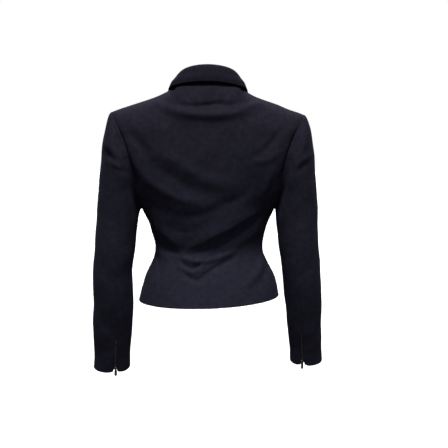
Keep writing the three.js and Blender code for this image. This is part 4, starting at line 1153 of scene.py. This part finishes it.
def thread_material():
    """Twisted sewing thread."""
    shade = bpy.context.scene.blazer_trim.thread_colour
    made, tree, shader = new_material("thread")
    twist = waves(tree, on_object(tree), 900.0, 1.5)
    feed(tree, shader, {
        "Base Color": mixed(tree, twist, colour(shade, 0.55), colour(shade)),
        "Roughness": 0.6,
        "Sheen Weight": 0.1,
        "Normal": bump(tree, twist, 0.4, 0.0001),
    })
    return made


def tape_material():
    """The zip's tape: a fine herringbone ribbon."""
    shade = bpy.context.scene.blazer_trim.thread_colour
    made, tree, shader = new_material("zip_tape")
    ribs = waves(tree, on_cloth(tree), 260.0)
    feed(tree, shader, {
        "Base Color": mixed(tree, ribs, colour(shade, 0.6), colour(shade)),
        "Roughness": 0.85,
        "Normal": bump(tree, ribs, 0.3, 0.0001),
    })
    return made


def metal_material(name="zip_metal", tone=1.0):
    """Darkened metal, bright where it is worn. tone is how bright it all is; below 1 it paints shade.
    """
    trim = bpy.context.scene.blazer_trim
    made, tree, shader = new_material(name)
    wear = wear_of(tree)
    plain, grimy = colour(trim.metal_colour, tone), colour(trim.metal_colour, tone * 0.5)
    dark = mixed(tree, wear["Grime"], plain, grimy)
    feed(tree, shader, {
        "Base Color": mixed(tree, wear["Edge"], dark, colour(trim.worn_colour, tone)),
        "Roughness": remap(tree, wear["Scratches"], 0.0, 1.0, 0.26, 0.46),
        "Metallic": 0.95,
        "Normal": bump(tree, wear["Scratches"], 0.15, 0.0001),
    })
    return made


def horn_material():
    """Dark horn with faint streaks and a low sheen."""
    shade = bpy.context.scene.blazer_trim.button_colour
    made, tree, shader = new_material("horn")
    wear = wear_of(tree, **{"Scratch Scale": 500.0})
    streak = remap(tree, noise(tree, on_object(tree), 160.0, 4.0, distortion=2.2), 0.4, 0.7)
    light = colour(shade, 2.6)
    body = mixed(tree, streak, colour(shade), light)
    feed(tree, shader, {
        "Base Color": mixed(tree, calculate(tree, "MULTIPLY", wear["Edge"], 0.4), body, light),
        "Roughness": remap(tree, wear["Scratches"], 0.0, 1.0, 0.3, 0.5),
        "Specular IOR Level": 0.3,
        "Normal": bump(tree, wear["Scratches"], 0.1, 0.0001),
    })
    return made


MAKERS = {
    "navy_wool": wool_material,
    "thread": thread_material,
    "zip_metal": metal_material,
    # The teeth's copy of the metal is darker, as painted shade of the slot that they lie in.
    "tooth_metal_painted_shade": lambda: metal_material("tooth_metal_painted_shade", 0.7),
    "horn": horn_material,
    "zip_tape": tape_material,
}


def material(name):
    return bpy.data.materials.get(name) or MAKERS[name]()


# ---- Rows of small pieces --------------------------------------------------------------------------
def row_tree():
    """Sets copies of a small piece along a path: stitches, or a zip's teeth."""
    tree, given, result = new_group(
        "Row of pieces",
        "GeometryNodeTree",
        [
            ("Path", "Geometry", None),
            ("Piece", "Object", None),
            ("Pitch", "Float", 0.002),
            ("Beside", "Float", 0.0),
            ("Uneven", "Float", 0.0),
            ("Seed", "Int", 1),
            ("Material", "Material", None),
        ],
        [("Pieces", "Geometry")],
    )

    def made(kind, inputs=None, socket=0, **settings):
        return add(tree, kind, inputs, **settings).outputs[socket]

    path = made("GeometryNodeMeshToCurve", {"Mesh": given["Path"]})
    spaced = made("GeometryNodeResampleCurve", {"Curve": path, "Length": given["Pitch"]}, mode="LENGTH")
    along = made("GeometryNodeInputTangent")
    outwards = made("GeometryNodeInputNamedAttribute", {"Name": "outwards"}, data_type="FLOAT_VECTOR")
    across = made("ShaderNodeVectorMath", {0: along, 1: outwards}, operation="CROSS_PRODUCT")
    beside = made("ShaderNodeVectorMath", {0: across, "Scale": given["Beside"]}, operation="SCALE")
    moved = made("GeometryNodeSetPosition", {"Geometry": spaced, "Offset": beside})
    lying = made("FunctionNodeAlignRotationToVector", {"Vector": along}, axis="Y")
    facing = {"Rotation": lying, "Vector": outwards}
    facing = made("FunctionNodeAlignRotationToVector", facing, axis="Z", pivot_axis="Y")
    limits = {2: calculate(tree, "MULTIPLY", given["Uneven"], -1.0), 3: given["Uneven"]}
    turn = made("FunctionNodeRandomValue", {**limits, "Seed": given["Seed"]}, 1, data_type="FLOAT")
    turned = {"Rotation": facing, "Rotate By": made("ShaderNodeCombineXYZ", {"Z": turn})}
    turned = made("FunctionNodeRotateRotation", turned, rotation_space="LOCAL")
    shape = made("GeometryNodeObjectInfo", {"Object": given["Piece"]}, "Geometry")
    copies = {"Points": moved, "Instance": shape, "Rotation": turned}
    real = made("GeometryNodeRealizeInstances", {0: made("GeometryNodeInstanceOnPoints", copies)})
    dressed = made("GeometryNodeSetMaterial", {"Geometry": real, "Material": given["Material"]})
    feed(tree, result, {0: dressed})
    return tree


def evaluated_mesh(piece):
    """A piece as its modifiers make it, as a plain mesh."""
    bpy.context.view_layer.update()
    evaluated = piece.evaluated_get(bpy.context.evaluated_depsgraph_get())
    return bpy.data.meshes.new_from_object(evaluated)


def row_of(name, path, outwards, small, look, values):
    """A mesh of small pieces set along a path of points, by the tree above."""
    mesh = bpy.data.meshes.new(name + "_path")
    edges = [(i, i + 1) for i in range(len(path) - 1)]
    mesh.from_pydata((np.asarray(path) * MM).tolist(), edges, [])
    way = mesh.attributes.new("outwards", "FLOAT_VECTOR", "POINT")
    way.data.foreach_set("vector", np.asarray(outwards, float).ravel())
    carrier = put(name + "_path", mesh)
    tree = group_named("Row of pieces", row_tree)
    rows = carrier.modifiers.new("Row", "NODES")
    rows.node_group = tree
    given = {**values, "Piece": small, "Material": material(look)}
    for socket in tree.interface.items_tree:
        if socket.in_out == "INPUT" and socket.name in given:
            rows[socket.identifier] = given[socket.name]
    made = evaluated_mesh(carrier)
    made.name = name
    bpy.data.objects.remove(carrier)
    return put(name, made)


def mesh_of(name, whole):
    """The mesh of a bmesh, which is freed."""
    mesh = bpy.data.meshes.new(name)
    whole.to_mesh(mesh)
    whole.free()
    return mesh


def joined(name, pieces):
    """Several pieces as one smooth mesh."""
    whole = bmesh.new()
    for piece in pieces:
        whole.from_mesh(piece.data)
    for face in whole.faces:
        face.material_index = 0
        face.smooth = True
    for piece in pieces:
        bpy.data.objects.remove(piece)
    return put(name, mesh_of(name, whole))


def ring_and_turn(face):
    """A face's place on a unit ball, as one number: its ring first, then its turn in the ring."""
    x, y, z = face.calc_center_median()
    return RING_WEIGHT * round(z, 3) + math.atan2(y, x)


def capsule(name, length, width, height):
    """A stitch: a short length of thread, thinner at its ends."""
    whole = bmesh.new()
    bmesh.ops.create_uvsphere(whole, u_segments=8, v_segments=6, radius=0.5)
    # The ball's faces come in an order that changes from run to run, so they are sorted.
    whole.faces.sort(key=ring_and_turn)
    for vert in whole.verts:
        x, y, z = vert.co
        vert.co = (x * width * MM, z * length * MM, y * height * MM)
    return put(name, mesh_of(name, whole))


def tooth():
    """One zip tooth: a bevelled block."""
    whole = bmesh.new()
    bmesh.ops.create_cube(whole, size=1)
    bmesh.ops.scale(whole, vec=[size * MM for size in TOOTH_SIZE], verts=whole.verts)
    edges = list(whole.edges)
    bmesh.ops.bevel(whole, geom=edges, offset=TOOTH_BEVEL * MM, segments=1, affect="EDGES")
    return put("tooth", mesh_of("tooth", whole))


# ---- Buttons and zips ------------------------------------------------------------------------------
def lathe(profile, steps):
    """A closed solid of revolution about Z from a profile that starts and ends on the axis."""
    profile = np.array(profile, float)
    turn = np.arange(steps) * 2 * np.pi / steps
    rings = profile[1:-1]
    verts = [(0, 0, profile[0][1]), (0, 0, profile[-1][1])]
    for r, z in rings:
        verts += [(r * math.cos(a), r * math.sin(a), z) for a in turn]
    last = 2 + (len(rings) - 1) * steps
    faces = []
    for k in range(steps):
        after = (k + 1) % steps
        faces.append((0, 2 + after, 2 + k))
        faces.append((1, last + k, last + after))
        for low in range(2, last, steps):
            faces.append((low + k, low + after, low + steps + after, low + steps + k))
    return np.array(verts), faces


def button_profile():
    """A dished horn button with a rolled rim."""
    r, z, rim = BUTTON_RADIUS, BUTTON_THICK, BUTTON_RIM
    turn = np.linspace(math.pi * 0.92, -math.pi * 0.3, RIM_STEPS)
    rolled = [(r - rim + rim * math.sin(a), z - rim + rim * math.cos(a)) for a in turn]
    return [*BUTTON_UNDERSIDE, *rolled, *((r - inwards, z - down) for inwards, down in BUTTON_DISH)]


def with_holes(piece, centres, radius):
    """Drills through holes of a radius at x, y centres, with the boolean tool."""
    for x, y in centres:
        whole = bmesh.new()
        size = {"radius1": radius * MM, "radius2": radius * MM, "depth": 20 * MM}
        bmesh.ops.create_cone(whole, cap_ends=True, segments=16, **size)
        bmesh.ops.translate(whole, verts=whole.verts, vec=(x * MM, y * MM, 0))
        drill = put("drill", mesh_of("drill", whole))
        cut = piece.modifiers.new("Hole", "BOOLEAN")
        cut.operation = "DIFFERENCE"
        cut.solver = "EXACT"
        cut.object = drill
        made = evaluated_mesh(piece)
        piece.modifiers.clear()
        piece.data = made
        bpy.data.objects.remove(drill)


def move_piece(piece, origin, axes):
    """Carries a mesh made at the origin, in metres, to its place in millimetres."""
    co = np.empty(len(piece.data.vertices) * 3)
    piece.data.vertices.foreach_get("co", co)
    moved = origin * MM + co.reshape(-1, 3) @ axes
    piece.data.vertices.foreach_set("co", moved.ravel())
    piece.data.update()


def button_frame(z):
    """Where a button sits: its place on the right front, and its axes across, along and outwards."""
    u, v = front_place(0, z)
    outwards = front_normal(-1, u, v)
    across = unit(np.cross(vec(0, 0, 1), outwards))
    return body_point("front", -1, u, v), np.stack([across, np.cross(outwards, across), outwards])


def button(number, z):
    """A sewn four-hole button, and the worked buttonhole that shows beside it."""
    verts, faces = lathe(button_profile(), BUTTON_SIDES)
    piece = mesh_piece(f"button_{number}_horn", verts, faces)
    places = (-HOLE_PLACE, HOLE_PLACE)
    with_holes(piece, [(x, y) for y in places for x in places], HOLE_RADIUS)
    for face in piece.data.polygons:
        # The small level faces beside the holes are shaded flat.
        face.use_smooth = abs(face.normal.z) < 0.999 or face.area > 1e-6
    origin, axes = button_frame(z)
    seat = origin + axes[2] * CLEAR
    move_piece(piece, seat, axes)
    declare(piece, "horn", [f"button_{number}"])
    threads = []
    stitch = capsule("sewing", *SEWING_SIZE)
    rows = {"Pitch": 0.01, "Uneven": 0.0, "Seed": number}
    for way in places:
        for lean in (-SEWING_SPREAD, SEWING_SPREAD):
            path = [(way + lean, y, BUTTON_THICK - SEWING_DEPTH) for y in (-0.2, 0.2)]
            path = seat + np.array(path) @ axes
            threads.append(row_of(f"sewing_{number}", path, [axes[2]] * 2, stitch, "thread", rows))
    bpy.data.objects.remove(stitch)
    declare(joined(f"button_{number}_thread", threads), "thread", [])
    buttonhole(number, z)


def buttonhole(number, z):
    """Close stitches round a slit that runs from the button's stem towards the front's edge."""
    origin, (across, along, outwards) = button_frame(z)
    turn = np.linspace(0, 2 * np.pi, SLIT_STEPS)
    x = np.where(np.cos(turn) > 0, SLIT_LENGTH, 0) + SLIT_HALF * np.cos(turn) - SLIT_BACK
    y = SLIT_HALF * np.sin(turn)
    ground = origin + across * x[:, None] + along * y[:, None] + outwards * SLIT_RISE
    stitch = capsule("buttonhole_stitch", *SLIT_STITCH)
    rows = {"Pitch": SLIT_PITCH * MM, "Uneven": SLIT_UNEVEN, "Seed": 10 + number}
    made = row_of(f"buttonhole_{number}", ground, [outwards] * SLIT_STEPS, stitch, "thread", rows)
    bpy.data.objects.remove(stitch)
    declare(made, "thread", [])


def zip_line(name, side):
    """The zip's centre line down the cuff's back seam: points, outward ways and ways across."""
    length = arm_length(name)
    run = np.linspace(2 - (ZIP_LENGTH - ZIP_END) / length, 2 - ZIP_LOWER_END / length, ZIP_STEPS)
    column = np.full_like(run, BACK_SEAM)
    middle, normal = sleeve_frame(name, side, run, column)
    beside = sleeve_frame(name, side, run, column + 0.2)[0]
    return middle, normal, unit(beside - middle)


def zip_piece(name, side):
    """A zip: its tape, and its teeth in two rows that mesh."""
    middle, normal, across = zip_line(name, side)
    places = np.linspace(-ZIP_WIDTH / 2, ZIP_WIDTH / 2, TAPE_COLUMNS)
    grid = middle[:, None] + across[:, None] * places[None, :, None] - normal[:, None] * TAPE_DEPTH
    normals = np.repeat(normal[:, None], TAPE_COLUMNS, axis=1)
    tape = cloth_shell(f"zip_{name}_tape", grid, normals, (TAPE_EDGE,) * 4, TAPE_THICK)
    declare(tape, "zip_tape", [f"zip_{name}"])
    # The teeth get the darker copy of the zip's metal: painted shade of the slot that they sit in.
    shape = tooth()
    line = middle - normal * TOOTH_DEPTH
    shift = unit(line[-1] - line[0]) * TOOTH_SHIFT
    rows = []
    for k, beside in enumerate((-TOOTH_BESIDE, TOOTH_BESIDE)):
        values = {"Pitch": TOOTH_PITCH * MM, "Beside": beside * MM, "Seed": 1}
        rows.append(row_of(f"teeth_{k}", line + k * shift, normal, shape, "tooth_metal_painted_shade", values))
    bpy.data.objects.remove(shape)
    declare(joined(f"zip_{name}_teeth", rows), "tooth_metal_painted_shade", [])


def carried_metal(node):
    """A node of the frame that keeps its own shape and gets the worn metal."""
    piece = bpy.data.objects[node]
    for slot in piece.material_slots:
        slot.material = material("zip_metal")
    if not piece.material_slots:
        piece.data.materials.append(material("zip_metal"))


# ---- The stage -------------------------------------------------------------------------------------
AIM = (-0.035, 0.0, -0.273)  # the point that the camera looks at
CAMERA_RISE = math.radians(5)
FRAME_WIDTH = 0.9856  # what the camera sees at that point, in metres
SENSOR = 36.0
CARD_PLACE, CARD_TILT = (-0.03, 0.85, -0.66), math.radians(107)
HEM_LIGHT_PLACE, HEM_LIGHT_TILT = (-0.005, 1.3, 0.44), math.pi / 2 - math.atan2(0.88, 1.2)
FLOOR_RADIUS, FLOOR_SIDES = 30.0, 64


def stage_camera():
    """A camera behind the garment, level with its shoulders and looking slightly down."""
    distance = bpy.context.scene.blazer_stage.camera_distance
    data = bpy.data.cameras.new("Camera")
    data.sensor_width = SENSOR
    data.lens = SENSOR * distance / FRAME_WIDTH
    made = put("Camera", data)
    back, up = distance * math.cos(CAMERA_RISE), distance * math.sin(CAMERA_RISE)
    made.location = (AIM[0], AIM[1] + back, AIM[2] + up)
    made.rotation_euler = (math.pi / 2 - CAMERA_RISE, 0, math.pi)
    bpy.context.scene.camera = made


def light(name, kind, power, tilt, azimuth, place=(0, 0, 0), **settings):
    """A light that points where its tilt and its azimuth in degrees say."""
    data = bpy.data.lights.new(name, kind)
    data.energy = power
    for setting, value in settings.items():
        setattr(data, setting, value)
    made = put(name, data)
    made.location = place
    made.rotation_euler = (tilt, 0, math.radians(azimuth))
    return made


def stage_lights():
    """Broad light from high behind and in front, a low card, and a soft pool on the back's skirt."""
    powers = bpy.context.scene.blazer_stage
    high, low = math.radians(90 - 65), math.radians(90 - 42)
    light("Key", "SUN", powers.key, high, 180, angle=math.radians(18))
    light("Front", "SUN", powers.key * 0.5, low, 0, angle=math.radians(20))
    tint = {"color": (0.8, 0.88, 1.0)}
    card = light("Card", "AREA", powers.card, CARD_TILT, 180, CARD_PLACE, size=0.5, **tint)
    card.visible_camera = False
    pool = {"color": (0.7, 0.84, 1.0), "spot_size": math.radians(17), "spot_blend": 1.0}
    pool["shadow_soft_size"] = 0.15
    light("Hem light", "SPOT", powers.hem, HEM_LIGHT_TILT, 180, HEM_LIGHT_PLACE, **pool)


def stage_floor():
    """A pale plain floor, as far below as a stand would hold the garment."""
    settings = bpy.context.scene.blazer_stage
    turn = np.arange(FLOOR_SIDES) * 2 * np.pi / FLOOR_SIDES
    radius, depth = FLOOR_RADIUS / MM, settings.floor_depth / MM
    verts = [(radius * math.cos(a), radius * math.sin(a), -depth) for a in turn]
    floor = mesh_piece("floor", verts, [range(FLOOR_SIDES)])
    made, tree, shader = new_material("floor")
    grain = noise(tree, on_object(tree), 3.0, 3.0)
    seen = mixed(tree, grain, colour(settings.floor_colour, 0.97), colour(settings.floor_colour))
    # It throws little light back up at the cloth.
    thrown = colour(settings.floor_colour, settings.floor_bounce)
    by_camera = add(tree, "ShaderNodeLightPath").outputs["Is Camera Ray"]
    feed(tree, shader, {"Base Color": mixed(tree, by_camera, thrown, seen), "Roughness": 0.8})
    floor.data.materials.append(made)


def stage_world():
    """Faint warm light from all round, and plain white behind."""
    world = bpy.data.worlds.new("World")
    world.use_nodes = True
    tree = world.node_tree
    fill = {"Color": (1.0, 0.78, 0.6, 1.0), "Strength": bpy.context.scene.blazer_stage.fill}
    fill = feed(tree, tree.nodes["Background"], fill).outputs[0]
    white = {"Color": (1.0, 1.0, 1.0, 1.0), "Strength": 1.0}
    white = add(tree, "ShaderNodeBackground", white).outputs[0]
    by_camera = add(tree, "ShaderNodeLightPath").outputs["Is Camera Ray"]
    both = add(tree, "ShaderNodeMixShader", {0: by_camera, 1: fill, 2: white}).outputs[0]
    feed(tree, tree.nodes["World Output"], {"Surface": both})
    bpy.context.scene.world = world


# ---- Settings --------------------------------------------------------------------------------------
def colour_property(name, description, default):
    kind = {"subtype": "COLOR", "size": 3, "min": 0, "max": 1}
    return FloatVectorProperty(name=name, description=description, default=default, **kind)


def amount(name, description, default, least=0, **kind):
    return FloatProperty(name=name, description=description, default=default, min=least, **kind)


class BlazerCloth(bpy.types.PropertyGroup):
    rib_pitch: amount("Rib pitch", "From rib to rib of the twill", 0.0011, 0.0003, unit="LENGTH")
    shade_colour: colour_property("Wool, deep", "Colour between the fibres", (0.0088, 0.0084, 0.0136))
    nap_colour: colour_property("Wool, nap", "Colour of the nap", (0.0205, 0.0199, 0.0325))
    sheen_colour: colour_property("Sheen", "Tint of the light that the nap catches", (0.3, 0.32, 0.52))
    lint_colour: colour_property("Lint", "Colour of stray lint", (0.3, 0.3, 0.32))
    lint: amount("Lint amount", "How plain the lint is", 0.25, max=1)


class BlazerTrim(bpy.types.PropertyGroup):
    thread_colour: colour_property("Thread", "Colour of the thread and the tape", (0.013, 0.013, 0.02))
    metal_colour: colour_property("Metal", "Colour of the zips' metal", (0.03, 0.028, 0.026))
    worn_colour: colour_property("Worn metal", "Colour of its worn edges", (0.26, 0.245, 0.225))
    button_colour: colour_property("Buttons", "Colour of the horn", (0.012, 0.012, 0.018))


class BlazerStage(bpy.types.PropertyGroup):
    camera_distance: amount("Camera distance", "From camera to garment", 2.6, 0.5, unit="LENGTH")
    floor_depth: amount("Floor", "How far the floor is below the shoulders", 1.4, 0.7, unit="LENGTH")
    floor_colour: colour_property("Floor colour", "Colour of the floor", (0.93, 0.93, 0.93))
    floor_bounce: amount("Floor bounce", "Share of its light that the floor throws up", 0.1, max=1)
    fill: amount("Fill light", "Light from all round", 0.045)
    key: amount("Key light", "Light from high behind the garment", 4.3)
    card: amount("Card", "Light from a card low behind the garment", 0.35)
    hem: amount("Hem light", "Light on the skirt of the back", 30)


# ---- Operators -------------------------------------------------------------------------------------
class BackOperator(bpy.types.Operator):
    """Make the two back panels"""

    bl_idname = "blazer.back"
    bl_label = "Back"

    def execute(self, context):
        for side in (1, -1):
            piece = panel("back", side)
            declare_cloth(piece, [f"back_{side_name(side)}"])
        return {"FINISHED"}


class FrontsOperator(bpy.types.Operator):
    """Make the two front panels"""

    bl_idname = "blazer.fronts"
    bl_label = "Fronts"

    def execute(self, context):
        for side in (1, -1):
            piece = panel("front", side)
            declare_cloth(piece, [f"front_{side_name(side)}"])
        return {"FINISHED"}


class LapelsOperator(bpy.types.Operator):
    """Make the two lapels"""

    bl_idname = "blazer.lapels"
    bl_label = "Lapels"

    def execute(self, context):
        for side in (1, -1):
            piece = lapel(side)
            name = side_name(side)
            declare_cloth(piece, [f"lapel_{name}"])
        return {"FINISHED"}


class CollarOperator(bpy.types.Operator):
    """Make the collar"""

    bl_idname = "blazer.collar"
    bl_label = "Collar"

    def execute(self, context):
        grid = collar_grid()
        edges = (SEWN, TURNED, TURNED, TURNED)
        piece = cloth_shell("collar_cloth", grid, grid_normals(grid, -1), edges)
        declare_cloth(piece, ["collar"])
        return {"FINISHED"}


class SleevesOperator(bpy.types.Operator):
    """Make the top and under sleeves"""

    bl_idname = "blazer.sleeves"
    bl_label = "Sleeves"

    def execute(self, context):
        for side in (1, -1):
            name = side_name(side)
            for half, flat, area in (("top", (0.2, 0.6), 0.092), ("under", (0.13, 0.5), 0.05)):
                piece = half_sleeve(name, side, half)
                declare_cloth(piece, [f"{half}_sleeve_{name}"])
        return {"FINISHED"}


class ButtonsOperator(bpy.types.Operator):
    """Make the front buttons, their thread and their buttonholes"""

    bl_idname = "blazer.buttons"
    bl_label = "Buttons"

    def execute(self, context):
        for i, z in enumerate(BUTTON_HEIGHTS):
            button(i + 1, z)
        return {"FINISHED"}


class ZipsOperator(bpy.types.Operator):
    """Make the zips at the cuffs"""

    bl_idname = "blazer.zips"
    bl_label = "Zips"

    def execute(self, context):
        for side in (1, -1):
            name = side_name(side)
            zip_piece(name, side)
            carried_metal(f"zip_slider_{name}")
            carried_metal(f"zip_pull_{name}")
        return {"FINISHED"}


class StageOperator(bpy.types.Operator):
    """Set up the floor, the light and the camera"""

    bl_idname = "blazer.stage"
    bl_label = "Stage"

    def execute(self, context):
        stage_floor()
        stage_world()
        stage_lights()
        stage_camera()
        context.scene.view_settings.view_transform = "Standard"
        return {"FINISHED"}


OPERATORS = (
    BackOperator,
    FrontsOperator,
    LapelsOperator,
    CollarOperator,
    SleevesOperator,
    ButtonsOperator,
    ZipsOperator,
    StageOperator,
)


class BlazerPanel(bpy.types.Panel):
    """Lists the blazer's pieces and settings"""

    bl_idname = "VIEW3D_PT_blazer"
    bl_label = "Wool blazer"
    bl_space_type = "VIEW_3D"
    bl_region_type = "UI"
    bl_category = "Blazer"

    def draw(self, context):
        for operator in OPERATORS:
            self.layout.operator(operator.bl_idname)
        for group in (getattr(context.scene, name) for name in GROUPS):
            for name in group.__annotations__:
                self.layout.prop(group, name)


GROUPS = {"blazer_cloth": BlazerCloth, "blazer_trim": BlazerTrim, "blazer_stage": BlazerStage}


def register():
    for group in (*GROUPS.values(), *OPERATORS, BlazerPanel):
        bpy.utils.register_class(group)
    for name, group in GROUPS.items():
        setattr(bpy.types.Scene, name, PointerProperty(type=group))


def unregister():
    for name in GROUPS:
        delattr(bpy.types.Scene, name)
    for group in (BlazerPanel, *reversed(OPERATORS), *GROUPS.values()):
        bpy.utils.unregister_class(group)


def main():
    register()
    for operator in OPERATORS:
        package, name = operator.bl_idname.split(".")
        getattr(getattr(bpy.ops, package), name)()


if __name__ == "__main__":
    main()
